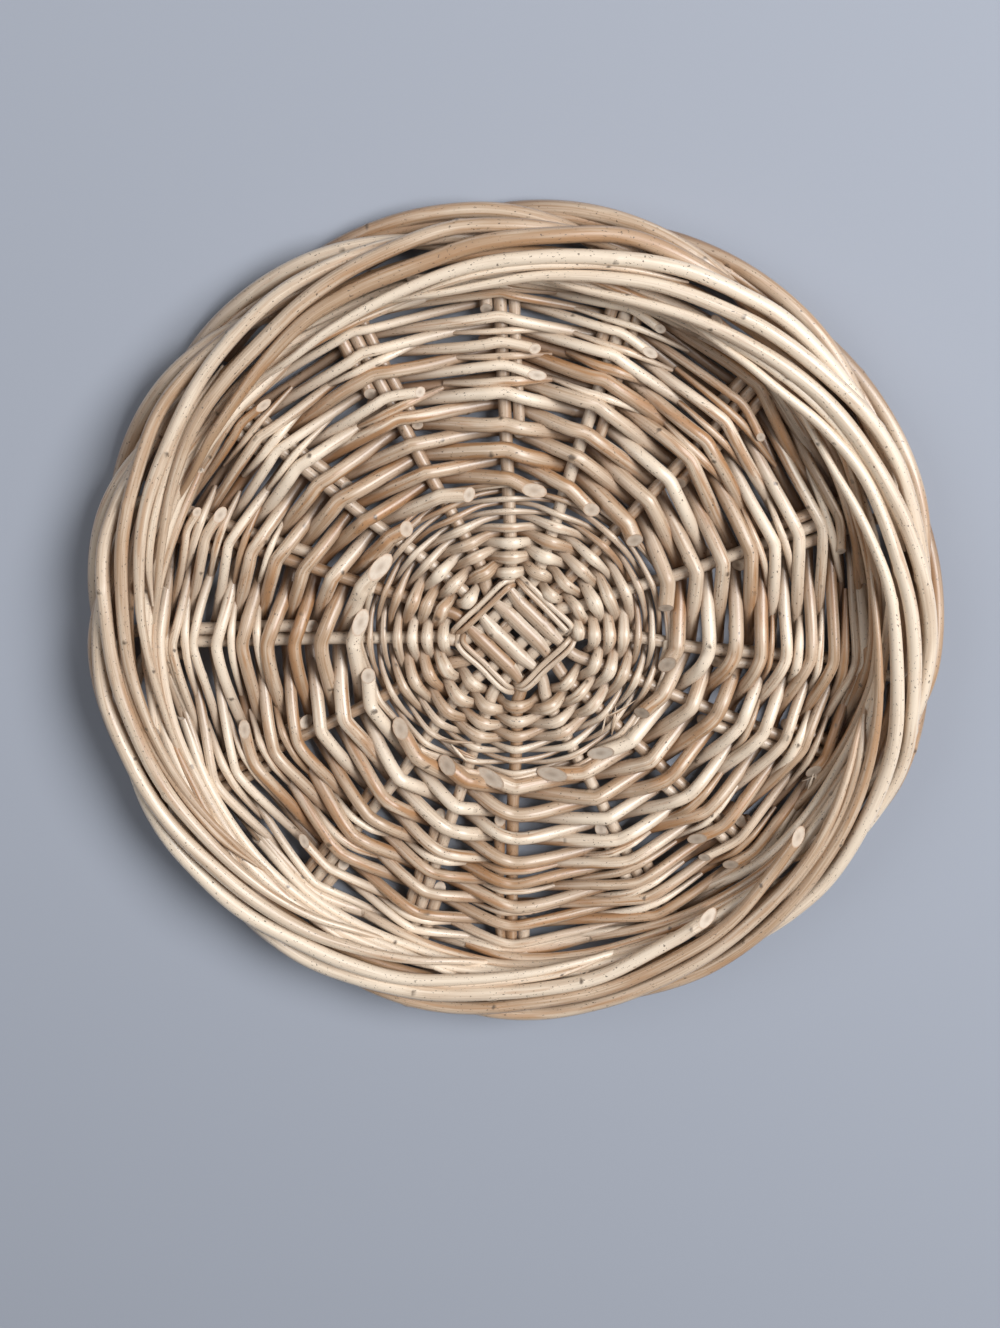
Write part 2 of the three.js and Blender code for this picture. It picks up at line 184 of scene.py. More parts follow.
def bearing_at(place, radius):
    """Bearing of a place among the spokes, such as 2.5 for halfway between spokes 2 and 3."""
    spoke = math.floor(place)
    return lerp(spoke_bearing(spoke, radius), spoke_bearing(spoke + 1, radius), place - spoke)


def cross_offset(spoke, sizes):
    return (spoke % CROSS_STICKS - (CROSS_STICKS - 1) / 2) * sizes.cross_pitch


def group_bearing(group):
    return math.radians(CROSS_BEARING_DEG) + group * math.pi / 2


def arm_bearing(spoke, radius, sizes, spot):
    """Sticks run side by side through the cross, then fan out to their spokes."""
    straight = group_bearing(spoke // CROSS_STICKS) + math.asin(cross_offset(spoke, sizes) / radius)
    fan = smoothstep(radius, spot.fan_start, sizes.fan_end)
    return lerp(straight, spoke_bearing(spoke, radius), fan)


def arm_bearing_at(place, radius, sizes, spot):
    spoke = math.floor(place)
    before = arm_bearing(spoke, radius, sizes, spot)
    after = arm_bearing(spoke + 1, radius, sizes, spot)
    return lerp(before, after, place - spoke)


# Rods: a ring drawn along a smooth run, with knots, wobble and slanting cuts
def smooth_run(stops, spacing):
    """The stops' route as close places on one smooth line that goes through each stop."""
    line = [stop.at for stop in stops]
    line = [line[0] * 2 - line[1], *line, line[-1] * 2 - line[-2]]
    run = []
    for index in range(len(stops) - 1):
        before, start, end, after = line[index : index + 4]
        # Times by the root of the distance keep the bends from overshooting
        start_time = (start - before).length ** 0.5
        end_time = start_time + (end - start).length ** 0.5
        after_time = end_time + (after - end).length ** 0.5
        count = max(1, round((end - start).length / spacing))
        for step in range(count):
            share = step / count
            time = lerp(start_time, end_time, share)
            into_start = before.lerp(start, time / start_time)
            into_end = start.lerp(end, share)
            into_after = end.lerp(after, (time - end_time) / (after_time - end_time))
            near = into_start.lerp(into_end, time / end_time)
            far = into_end.lerp(into_after, (time - start_time) / (after_time - start_time))
            width = lerp(stops[index].width, stops[index + 1].width, share)
            height = lerp(stops[index].height, stops[index + 1].height, share)
            run.append(Stop(near.lerp(far, share), width, height))
    run.append(stops[-1])
    return run


def rod_axes(run):
    """For each place on a rod: along it, level across it, and over it."""
    axes = []
    for index in range(len(run)):
        before = run[max(index - 1, 0)].at
        after = run[min(index + 1, len(run) - 1)].at
        along = (after - before).normalized()
        across = UP.cross(along).normalized()
        axes.append((along, across, along.cross(across)))
    return axes


def running_lengths(run):
    lengths = [0.0]
    for before, after in zip(run, run[1:]):
        lengths.append(lengths[-1] + (after.at - before.at).length)
    return lengths


KNOT_SPACING = (0.030, 0.075)
KNOT_HALF_LENGTH = 0.0014
KNOT_RISE = 0.2
KNOT_NARROWNESS = 6


def scatter_knots(length, rng):
    """Places of the leaf scars on a rod, each with the side of the rod that it is on."""
    knots = [(-KNOT_SPACING[1], 0.0)]
    place = rng.uniform(*KNOT_SPACING) / 2
    while place < length:
        knots.append((place, rng.uniform(0, 2 * math.pi)))
        place += rng.uniform(*KNOT_SPACING)
    return knots


def nearest_knot(knots, length):
    """How strong the nearest knot is at this length, and the way that it faces."""
    place, side = min(knots, key=lambda knot: abs(knot[0] - length))
    away = (length - place) / KNOT_HALF_LENGTH
    return math.exp(-away * away), math.cos(side), math.sin(side)


CUT_EASE = 2.5  # a slanting cut eases off over this many times its own half length


def cut_shear(distance, slant, half_height):
    """Slope of the ring at this distance from a cut end, easing off so that rings stay in order."""
    if not slant:
        return 0.0
    return slant * max(0.0, 1 - distance / (CUT_EASE * abs(slant) * half_height))


THICKNESS_WOBBLE = 0.035
THICKNESS_WAVES = 45  # changes of thickness to a metre
UPRIGHT_BOW = 0.4  # of the sideways bow
GRAIN_START = 20  # metres of willow that a rod's grain is taken from
FADED_TONE = 0.52  # mean tone of a rod that stands for several joined rods
FADE_DEPTH = 0.7
FADE_WAVES = 9  # changes of tone to a metre


def willow_rod(
    stops, seed, sides=12, spacing=0.0017, butt=0.0, tip=0.0, bow=0.0, thicker=(1.0, 1.0), fade=0.0
):
    """One rod as a bmesh. butt and tip are the slopes of the cuts, bow is how far it wanders,
    and fade is how far its tone changes along it, for one that stands for several joined rods."""
    rng = random.Random(seed)
    girth = rng.uniform(*thicker)
    run = smooth_run(stops, spacing)
    axes = rod_axes(run)
    lengths = running_lengths(run)
    knots = scatter_knots(lengths[-1], rng)
    start_length = rng.uniform(0, GRAIN_START)
    bm = bmesh.new()
    grain = bm.verts.layers.float_vector.new("rod_space")
    tone = bm.verts.layers.float.new("tone")
    knot = bm.verts.layers.float.new("knot")
    bmesh.ops.create_circle(bm, cap_ends=True, radius=1, segments=sides)
    rod_tone = rng.random()
    for vert in bm.verts:
        vert[grain] = vert.co
        vert[tone] = rod_tone
    caps = list(bm.faces)
    ring = list(bm.verts)
    edges = list(bm.edges)
    rims = list(edges)
    for index, (stop, length) in enumerate(zip(run, lengths)):
        along, across, over = axes[index]
        if index:
            drawn = bmesh.ops.extrude_edge_only(bm, edges=edges)["geom"]
            edges = [part for part in drawn if isinstance(part, bmesh.types.BMEdge)]
            ring = [part for part in drawn if isinstance(part, bmesh.types.BMVert)]
        shear = cut_shear(length, butt, stop.height) + cut_shear(lengths[-1] - length, tip, stop.height)
        leaning = over + along * shear
        seat = Vector((seed, length * THICKNESS_WAVES, 0))
        thickness = girth * (1 + THICKNESS_WOBBLE * noise.noise(seat))
        drift = across * noise.noise(seat / 2 + UP) + over * noise.noise(seat / 2 - UP) * UPRIGHT_BOW
        middle = stop.at + drift * bow
        strength, knot_cosine, knot_sine = nearest_knot(knots, length)
        change = FADE_DEPTH * noise.noise(Vector((seed, length * FADE_WAVES, 0)))
        for vert in ring:
            vert[tone] = lerp(rod_tone, FADED_TONE + change, fade)
            cosine, sine = vert[grain].xy
            facing = max(0.0, cosine * knot_cosine + sine * knot_sine)
            swell = strength * facing**KNOT_NARROWNESS
            vert[knot] = swell
            vert[grain] = (cosine, sine, start_length + length)
            reach = thickness + KNOT_RISE * swell
            vert.co = middle + (across * cosine * stop.width + leaning * sine * stop.height) * reach
    for face in bm.faces:
        face.smooth = True
    caps += bmesh.ops.edgeloop_fill(bm, edges=edges)["faces"]
    rims += edges
    for edge in rims:
        edge.smooth = False
    poked = bmesh.ops.poke(bm, faces=caps)
    for vert in poked["verts"]:
        vert[grain] = (0, 0, vert[grain].z)
        vert[tone] = rod_tone
        vert[knot] = 0
    for face in poked["faces"]:
        face.material_index = 1
        face.smooth = False
    bmesh.ops.recalc_face_normals(bm, faces=bm.faces)
    return bm


def mesh_from(bm, name):
    mesh = bpy.data.meshes.new(name)
    bm.to_mesh(mesh)
    bm.free()
    return mesh


def add_object(name, data):
    made = bpy.data.objects.new(name, data)
    bpy.context.scene.collection.objects.link(made)
    return made


def add_piece(name, bm, slot, *nodes):
    """Puts a finished rod on the frame, in the place of its nodes."""
    mesh = mesh_from(bm, name)
    mesh.materials.append(bpy.data.materials[f"{slot}_skin"])
    mesh.materials.append(bpy.data.materials["cut_willow"])
    piece = add_object(name, mesh)
    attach(piece, "root")
    if nodes:
        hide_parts(*nodes)
    return piece


# Materials
def feed(tree, socket, value):
    """Sets a socket to a value, or links it where the value is another socket."""
    if isinstance(value, bpy.types.NodeSocket):
        tree.links.new(value, socket)
    else:
        socket.default_value = value


def add_node(tree, kind, **inputs):
    """A node with its named inputs set or linked."""
    node = tree.nodes.new(kind)
    for name, value in inputs.items():
        feed(tree, node.inputs[name], value)
    return node


def grain_noise(tree, grain, scale, detail=3.0, roughness=0.55):
    """Noise in the straightened rod's own space: half widths across it, and metres along it."""
    stretched = add_node(tree, "ShaderNodeMapping", Vector=grain, Scale=scale)
    pattern = add_node(
        tree, "ShaderNodeTexNoise", Vector=stretched.outputs[0], Scale=1.0, Detail=detail, Roughness=roughness
    )
    return pattern.outputs["Fac"]


def spread(tree, value, low, high, to_low=0.0, to_high=1.0):
    """Stretches a value's range from low and high to new ends, and holds it there."""
    node = tree.nodes.new("ShaderNodeMapRange")
    tree.links.new(value, node.inputs["Value"])
    for name, number in (("From Min", low), ("From Max", high), ("To Min", to_low), ("To Max", to_high)):
        node.inputs[name].default_value = number
    return node.outputs["Result"]


def math_node(tree, operation, *values):
    node = tree.nodes.new("ShaderNodeMath")
    node.operation = operation
    for socket, value in zip(node.inputs, values):
        feed(tree, socket, value)
    return node.outputs[0]


def mix_colour(tree, share, first, second):
    node = tree.nodes.new("ShaderNodeMix")
    node.data_type = "RGBA"
    feed(tree, node.inputs["Factor"], share)
    feed(tree, node.inputs[6], first)
    feed(tree, node.inputs[7], second)
    return node.outputs[2]


def attribute(tree, name, output):
    node = tree.nodes.new("ShaderNodeAttribute")
    node.attribute_name = name
    return node.outputs[output]


# Noise scales: two across the rod, in its half widths, and one along it, in metres
PATCH_SCALE = (0.9, 0.9, 22)
STREAK_SCALE = (4.5, 4.5, 26)
FIBRE_SCALE = (16, 16, 90)
STAIN_SCALE = (0.8, 0.8, 20)
FLECK_SCALE = (4, 4, 700)
CUT_SCALE = (3, 3, 300)

NOISE_RANGE = (0.3, 0.7)  # where most of the noise lies
TONE_SWING = 1.3  # from the palest to the deepest rod
STAIN_EDGES = (0.61, 0.73)
STAIN_WITH_TONE = 0.14
FLECK_EDGES = (0.66, 0.685)
KNOT_EDGES = (0.4, 0.75)
# Painted shade: the heights over which low rods are darkened, and how far towards the shade colour
PAINTED_SHADE_HEIGHTS = (0.0055, 0.0160)
PAINTED_SHADE_DEPTH = 0.95
COAT_WEIGHT = 0.9
COAT_ROUGHNESS = 0.34
BUMP_DISTANCE = 0.0003
SKIN_BUMP = 0.35
CUT_BUMP = 0.4
CUT_ROUGHNESS = 0.8
SKIN_COLOURS = ("Pale", "Deep", "Stain", "Speck", "Painted_Shade")


def painted_shade_mask(tree):
    """Painted shade: darkens the upper side of rods that lie low in the weave, where shade falls in the
    hollows between rods.
    """
    place = tree.nodes.new("ShaderNodeTexCoord").outputs
    above_floor = add_node(tree, "ShaderNodeSeparateXYZ", Vector=place["Object"]).outputs["Z"]
    facing_up = add_node(tree, "ShaderNodeSeparateXYZ", Vector=place["Normal"]).outputs["Z"]
    low = spread(tree, above_floor, *PAINTED_SHADE_HEIGHTS, PAINTED_SHADE_DEPTH, 0)
    return math_node(tree, "MULTIPLY", low, spread(tree, facing_up, -0.2, 0.3))


def willow_skin_group():
    """Peeled willow: long streaks, tannin stains, bark flecks and dark knots along each rod, and painted
    shade on rods low in the weave.
    """
    tree = bpy.data.node_groups.new("willow_skin", "ShaderNodeTree")
    sockets = tree.interface
    for name in SKIN_COLOURS:
        sockets.new_socket(name, in_out="INPUT", socket_type="NodeSocketColor")
    for name in ("Depth", "Staining"):
        sockets.new_socket(name, in_out="INPUT", socket_type="NodeSocketFloat")
    sockets.new_socket("Colour", in_out="OUTPUT", socket_type="NodeSocketColor")
    sockets.new_socket("Roughness", in_out="OUTPUT", socket_type="NodeSocketFloat")
    sockets.new_socket("Height", in_out="OUTPUT", socket_type="NodeSocketFloat")
    given = tree.nodes.new("NodeGroupInput").outputs
    grain = attribute(tree, "rod_space", "Vector")
    tone = attribute(tree, "tone", "Fac")
    knot = attribute(tree, "knot", "Fac")

    patches = grain_noise(tree, grain, PATCH_SCALE, detail=2)
    streaks = grain_noise(tree, grain, STREAK_SCALE, detail=4)
    fibres = grain_noise(tree, grain, FIBRE_SCALE, detail=3)
    depth = math_node(tree, "MULTIPLY_ADD", tone, TONE_SWING, -TONE_SWING / 2)
    depth = math_node(tree, "ADD", depth, spread(tree, patches, *NOISE_RANGE, -0.3, 0.3))
    depth = math_node(tree, "ADD", depth, spread(tree, streaks, *NOISE_RANGE, -0.28, 0.28))
    depth = math_node(tree, "ADD", depth, spread(tree, fibres, *NOISE_RANGE, -0.1, 0.1))
    depth = math_node(tree, "ADD", depth, given["Depth"])
    held = spread(tree, depth, 0, 1)
    colour = mix_colour(tree, held, given["Pale"], given["Deep"])

    stains = grain_noise(tree, grain, STAIN_SCALE, detail=4, roughness=0.6)
    stain_place = math_node(tree, "ADD", stains, math_node(tree, "MULTIPLY", tone, STAIN_WITH_TONE))
    stain_mask = math_node(tree, "MULTIPLY", spread(tree, stain_place, *STAIN_EDGES), given["Staining"])
    colour = mix_colour(tree, stain_mask, colour, given["Stain"])

    flecks = grain_noise(tree, grain, FLECK_SCALE, detail=2)
    fleck_mask = spread(tree, flecks, *FLECK_EDGES, 0, 0.95)
    colour = mix_colour(tree, fleck_mask, colour, given["Speck"])
    # Painted shade: rods low in the weave are mixed towards a dark brown on their upper side
    colour = mix_colour(tree, painted_shade_mask(tree), colour, given["Painted_Shade"])
    knot_mask = spread(tree, knot, *KNOT_EDGES, 0, 0.9)
    colour = mix_colour(tree, knot_mask, colour, given["Speck"])

    shine = spread(tree, streaks, *NOISE_RANGE, 0.40, 0.58)
    ridges = math_node(tree, "ADD", fibres, math_node(tree, "MULTIPLY", streaks, 0.8))
    result = tree.nodes.new("NodeGroupOutput").inputs
    tree.links.new(colour, result["Colour"])
    tree.links.new(shine, result["Roughness"])
    tree.links.new(ridges, result["Height"])


def principled_of(material):
    material.use_nodes = True
    return material.node_tree, material.node_tree.nodes["Principled BSDF"]


def willow_material(name, colours, depth, staining):
    """Willow skin of one family of rods. depth shifts it from pale to deep."""
    tree, shader = principled_of(bpy.data.materials.new(name))
    skin = tree.nodes.new("ShaderNodeGroup")
    skin.node_tree = bpy.data.node_groups["willow_skin"]
    for colour in SKIN_COLOURS:
        skin.inputs[colour].default_value = (*getattr(colours, colour.lower()), 1)
    skin.inputs["Depth"].default_value = depth
    skin.inputs["Staining"].default_value = staining
    ridges = skin.outputs["Height"]
    bump = add_node(tree, "ShaderNodeBump", Strength=SKIN_BUMP, Distance=BUMP_DISTANCE, Height=ridges)
    tree.links.new(skin.outputs["Colour"], shader.inputs["Base Color"])
    tree.links.new(skin.outputs["Roughness"], shader.inputs["Roughness"])
    tree.links.new(bump.outputs["Normal"], shader.inputs["Normal"])
    shader.inputs["Coat Weight"].default_value = COAT_WEIGHT
    shader.inputs["Coat Roughness"].default_value = COAT_ROUGHNESS


def cut_willow_material(colours):
    """A cut rod end: pale wood with rings and a dark pith in the middle."""
    tree, shader = principled_of(bpy.data.materials.new("cut_willow"))
    grain = attribute(tree, "rod_space", "Vector")
    apart = add_node(tree, "ShaderNodeSeparateXYZ", Vector=grain)
    across = math_node(tree, "POWER", apart.outputs["X"], 2.0)
    over = math_node(tree, "POWER", apart.outputs["Y"], 2.0)
    out = math_node(tree, "SQRT", math_node(tree, "ADD", across, over))
    cloud = grain_noise(tree, grain, CUT_SCALE, detail=4)
    ragged = math_node(tree, "ADD", out, spread(tree, cloud, *NOISE_RANGE, -0.12, 0.12))
    pith_mask = spread(tree, ragged, 0.10, 0.5, 0.6, 0)
    skin_mask = spread(tree, out, 0.8, 1.0, 0, 0.5)
    age = math_node(tree, "ADD", cloud, spread(tree, attribute(tree, "tone", "Fac"), 0, 1, -0.15, 0.15))
    aged = mix_colour(tree, spread(tree, age, 0.35, 0.75, 0, 0.4), (*colours.cut, 1), (*colours.deep, 1))
    colour = mix_colour(tree, pith_mask, aged, (*colours.pith, 1))
    colour = mix_colour(tree, skin_mask, colour, (*colours.stain, 1))
    bump = add_node(tree, "ShaderNodeBump", Strength=CUT_BUMP, Distance=BUMP_DISTANCE, Height=cloud)
    tree.links.new(colour, shader.inputs["Base Color"])
    tree.links.new(bump.outputs["Normal"], shader.inputs["Normal"])
    shader.inputs["Roughness"].default_value = CUT_ROUGHNESS


# For each material slot: how deep its willow is, and how stained
SLOT_LOOKS = {
    "base_stick": (0.36, 0.35),
    "pairing_willow": (0.34, 0.6),
    "weaving_willow": (0.27, 0.85),
    "border_willow": (0.48, 0.5),
    "wale_willow": (0.54, 0.4),
}


def make_finishes(colours):
    willow_skin_group()
    for slot, (depth, staining) in SLOT_LOOKS.items():
        willow_material(f"{slot}_skin", colours, depth, staining)
    cut_willow_material(colours)


# Base sticks: four split sticks with four shaved sticks pushed through them
THREADED_SEED = 100
SPLIT_SEED = 110
STICK_CUT = 0.3
CROSS_WIDENING = 1.35  # of a stick's width, where it is split and pressed flat
CROSS_PAIRING = 0.0007  # how far two neighbours of the cross lean towards each other
FAN_STATIONS = 6
ARM_STATIONS = 8
MIDDLE_STATIONS = (-0.6, -0.3, 0, 0.3, 0.6)  # shares of the way out of the cross


def split_half_height(x, sizes, spot):
    """A split stick swells round its split."""
    swollen = sizes.shaved + sizes.gap + sizes.split_wall
    split_end = spot.cross_half_width + sizes.gap
    out = smoothstep(abs(x), split_end - sizes.stick, split_end + sizes.stick)
    return lerp(swollen, sizes.stick / 2, out)


def shaved_half_height(x, sizes, spot):
    """A pushed-through stick is shaved flat where it lies in the splits."""
    start = spot.cross_half_width + sizes.gap
    return lerp(sizes.shaved, sizes.stick / 2, smoothstep(abs(x), start, start + sizes.stick))


def stick_stops(group, number, half_height_at, sizes, spot):
    near = group * CROSS_STICKS + number
    far = (group + 2) * CROSS_STICKS + CROSS_STICKS - 1 - number
    turn = Matrix.Rotation(group_bearing(group), 4, "Z")
    across = cross_offset(near, sizes)
    cross_end = math.hypot(spot.fan_start + 2 * sizes.gap, across)
    fan = [lerp(cross_end, sizes.fan_end, i / FAN_STATIONS) for i in range(FAN_STATIONS + 1)]
    rest = [lerp(sizes.fan_end, spot.weave_end, (i + 1) / ARM_STATIONS) for i in range(ARM_STATIONS)]

    def arm(spoke):
        stops = []
        for radius in fan + rest:
            at = polar(radius, arm_bearing(spoke, radius, sizes, spot), spot.base_z)
            along = (turn.inverted() @ at).x
            stops.append(Stop(at, sizes.stick / 2, half_height_at(along, sizes, spot)))
        return stops

    widening = CROSS_WIDENING if group else 1
    lean = CROSS_PAIRING * (-1 if number % 2 else 1)
    middle = []
    for share in MIDDLE_STATIONS:
        x = share * spot.cross_half_width
        at = turn @ Vector((x, across + lean, spot.base_z))
        middle.append(Stop(at, widening * sizes.stick / 2, half_height_at(x, sizes, spot)))
    return [*reversed(arm(far)), *middle, *arm(near)]


def open_split(piece, number, sizes, spot):
    """Cuts the split that the pushed-through sticks lie in."""
    bm = bmesh.new()
    length = 2 * (spot.cross_half_width + 2 * sizes.gap)
    height = 2 * (sizes.shaved + sizes.gap)
    turn = Matrix.Rotation(group_bearing(1), 4, "Z")
    seat = turn @ Matrix.Translation((0, cross_offset(number, sizes), spot.base_z))
    bmesh.ops.create_cube(bm, size=1, matrix=seat @ Matrix.Diagonal((length, 3 * sizes.stick, height, 1)))
    shape = add_object("split_shape", mesh_from(bm, "split_shape"))
    piece.modifiers.new("facets", "TRIANGULATE")
    split = piece.modifiers.new("split", "BOOLEAN")
    split.operation = "DIFFERENCE"
    split.solver = "EXACT"
    split.object = shape
    depsgraph = bpy.context.evaluated_depsgraph_get()
    pierced = bpy.data.meshes.new_from_object(piece.evaluated_get(depsgraph))
    piece.modifiers.clear()
    whole = piece.data
    piece.data = pierced
    bpy.data.meshes.remove(whole)
    bpy.data.objects.remove(shape)


class WICKER_OT_base_sticks(bpy.types.Operator):
    """Lays the eight base sticks, four of them split for the other four"""

    bl_idname = "wicker.base_sticks"
    bl_label = "Base Sticks"

    def execute(self, context):
        sizes = context.scene.wicker_sizes
        spot = layout(sizes)
        for number in range(CROSS_STICKS):
            name = f"threaded_stick_{number + 1}"
            stops = stick_stops(0, number, shaved_half_height, sizes, spot)
            rod = willow_rod(stops, THREADED_SEED + number, butt=STICK_CUT, tip=STICK_CUT)
            add_piece(f"willow_{name}", rod, "base_stick", name)
            name = f"split_stick_{number + 1}"
            stops = stick_stops(1, number, split_half_height, sizes, spot)
            rod = willow_rod(stops, SPLIT_SEED + number, butt=STICK_CUT, tip=STICK_CUT)
            piece = add_piece(f"willow_{name}", rod, "base_stick", name)
            open_split(piece, number, sizes, spot)
        return {"FINISHED"}


# Pairing: two fine strands twisted round the arms of the cross, one over and one under
PAIRING_FLATNESS = 0.72
PAIRING_CLOSING = 0.22  # how much closer the last rows lie than the mean, as a share of it
SQUARE_ROWS = 2.5
CORNER_BULGE = 0.0022
PAIRING_BELLY = 1.08  # of the strand's width where it bulges over an arm
PAIRING_WAIST = 0.8  # of the strand's width where it dives between two arms
PAIRING_RUN = 0.0015  # half the length that lies level over an arm
PAIRING_SEED = 21
PAIRING_STRAY = 0.0005  # how far a stroke may lie in or out of its row
PAIRING_GIRTH = (0.88, 1.12)
PAIRING_THINNING = (0.35, 0.75)  # shares of the way out between which the strands thin
FINE_SEED = 7
FINE_STARTS = (0, 2, 3, 5, 7, 8, 10, 11, 13, 14)
FINE_SPAN_SPOKES = 5
FINE_D = 0.0027
FINE_OUT = (0.0015, 0.0042)  # how far outside the last row of pairing a fine strand may lie
STRAND_SEED = 200
STRAND_LOOK = {"spacing": 0.0013, "butt": 0.8, "tip": 0.8, "bow": 0.0007, "fade": 0.85}
FINE_ROD_SEED = 220
FINE_LOOK = {"spacing": 0.0015, "butt": 1.5, "tip": 1.5, "bow": 0.0015}
BINDING_D = 0.0024
BINDING_OUT = 0.0024
BINDING_ROWS = 2
BINDING_PITCH = 0.0027
BINDING_REACH = 0.9  # of the cross's half width


def flat_stop(at, width):
    """A stop of a strand that is pressed flat."""
    return Stop(at, width / 2, width / 2 * PAIRING_FLATNESS)


def binding_stops(strand, sizes, spot):
    """First turns, round each group of four arms."""
    stops = []
    for turn_number in range(BINDING_ROWS):
        out = spot.cross_half_width + BINDING_OUT + turn_number * BINDING_PITCH
        lift = split_half_height(out, sizes, spot) + BINDING_D / 2 * PAIRING_FLATNESS
        for group in range(SPOKES // CROSS_STICKS):
            side = -1 if (group + strand) % 2 else 1
            turn = Matrix.Rotation(group_bearing(group), 4, "Z")
            for share in (-BINDING_REACH, 0, BINDING_REACH):
                at = turn @ Vector((out, share * spot.cross_half_width, spot.base_z + side * lift))
                stops.append(flat_stop(at, BINDING_D))
            corner_r = math.hypot(out, spot.cross_half_width) + side * BINDING_D / 2
            corner = polar(corner_r, group_bearing(group) + math.pi / 4, spot.base_z)
            stops.append(flat_stop(corner, BINDING_D))
    return stops


def pairing_radius(place, strand, sizes):
    """Radius at a place along the strands. Rows lie closer further out, and the first follow the corners."""
    row = place / SPOKES + strand / 2
    share = row / sizes.pairing_rows
    eased = share * (1 + PAIRING_CLOSING * (1 - share))
    squareness = max(0, 1 - row / SQUARE_ROWS)
    corner = -math.cos(4 * (spoke_bearing(0, 0) + place * SPOKE_STEP - group_bearing(0)))
    return lerp(sizes.pairing_start, sizes.pairing_end, eased) + CORNER_BULGE * squareness * corner


def pairing_stops(strand, sizes, spot):
    """Rows round single arms, working outwards, with the second strand half a row outside the first."""
    rng = random.Random(PAIRING_SEED + strand)
    stops = []
    crossings = sizes.pairing_rows * SPOKES
    for step in range(crossings + 1):
        side = -1 if (step + strand) % 2 else 1
        thinning = smoothstep(step / crossings, *PAIRING_THINNING)
        width = lerp(sizes.pairing_first, sizes.pairing_last, thinning) * rng.uniform(*PAIRING_GIRTH)
        radius = pairing_radius(step, strand, sizes) + rng.uniform(-PAIRING_STRAY, PAIRING_STRAY)
        lift = (sizes.stick + PAIRING_FLATNESS * width) / 2
        bearing = arm_bearing_at(step, radius, sizes, spot)
        for along in (-PAIRING_RUN, PAIRING_RUN):
            at = polar(radius, bearing + along / radius, spot.base_z + side * lift)
            stops.append(flat_stop(at, PAIRING_BELLY * width))
        if step < crossings:
            between = pairing_radius(step + 0.5, strand, sizes)
            bearing = arm_bearing_at(step + 0.5, between, sizes, spot)
            stops.append(flat_stop(polar(between, bearing, spot.base_z), PAIRING_WAIST * width))
    return stops


def laid_stops(first_spoke, span, radius, diameter, run, sizes, spot):
    """A rod laid over and under a few spokes at one radius, thinning to its tip."""
    stops = []
    for step in range(span + 1):
        width = lerp(diameter, diameter / 2, step / span)
        lift = (sizes.stick + PAIRING_FLATNESS * width) / 2
        side = -1 if (step + first_spoke) % 2 else 1
        bearing = spoke_bearing(first_spoke + step, radius)
        for along in (-run, run):
            at = polar(radius, bearing + along / radius, spot.base_z + side * lift)
            stops.append(flat_stop(at, width))
    return stops


class WICKER_OT_pairing(bpy.types.Operator):
    """Twists the two fine strands round the cross"""

    bl_idname = "wicker.pairing"
    bl_label = "Pairing"

    def execute(self, context):
        sizes = context.scene.wicker_sizes
        spot = layout(sizes)
        for strand in range(2):
            stops = binding_stops(strand, sizes, spot) + pairing_stops(strand, sizes, spot)
            rod = willow_rod(stops, STRAND_SEED + strand, **STRAND_LOOK)
            name = f"pairing_weaver_{strand + 1}"
            add_piece(f"willow_{name}", rod, "pairing_willow", name)
        rng = random.Random(FINE_SEED)
        for number, spoke in enumerate(FINE_STARTS):
            radius = sizes.pairing_end + rng.uniform(*FINE_OUT)
            stops = laid_stops(spoke, FINE_SPAN_SPOKES, radius, FINE_D, PAIRING_RUN, sizes, spot)
            rod = willow_rod(stops, FINE_ROD_SEED + number, **FINE_LOOK)
            add_piece(f"fine_strand_{number + 1}", rod, "pairing_willow")
        return {"FINISHED"}


# Rand: a thick rod starts on each spoke and moves out by a row at each spoke that it passes
RAND_STROKES = 15
EXTRA_STROKES = 1
RAND_SEED = 3
OVERHANG_SHARES = (0.7, 2.0)
RAND_GIRTH = (1.04, 1.26)
CROSSING_RUN_SHARE = 0.2
STAKE_RUN_SHARE = 0.85
STRAIGHTNESS = 0.85  # 1 is a straight rod from spoke to spoke, and 0 a round one
BUTT_CUTS = (0.7, 2.0)
JOINED_GIRTH = (0.86, 1.24)
WEAVER_SEED = 300
JOINED_SEED = 330
WEAVER_LOOK = {"tip": 1.5, "bow": 0.0018}


def rand_diameter(stroke, sizes):
    return lerp(sizes.rand_butt, sizes.rand_tip, min(max(stroke / RAND_STROKES, 0), 1))


def rand_radius(stroke, sizes):
    taper = (sizes.rand_tip - sizes.rand_butt) * stroke / (2 * RAND_STROKES)
    return sizes.rand_start + stroke * (SLANT_PITCH_RATIO * (sizes.rand_butt + taper) + sizes.gap)


def stake_start(spoke, sizes, spot):
    share = STAKE_START_SHARES[spoke % len(STAKE_START_SHARES)]
    return lerp(sizes.rand_start, spot.weave_end, share)


def chord_inset(along, radius):
    """How far a straight rod between two spokes lies inside the circle, this far from a spoke."""
    span = radius * SPOKE_STEP
    return STRAIGHTNESS * abs(along) * max(0, span - abs(along)) / (2 * radius)


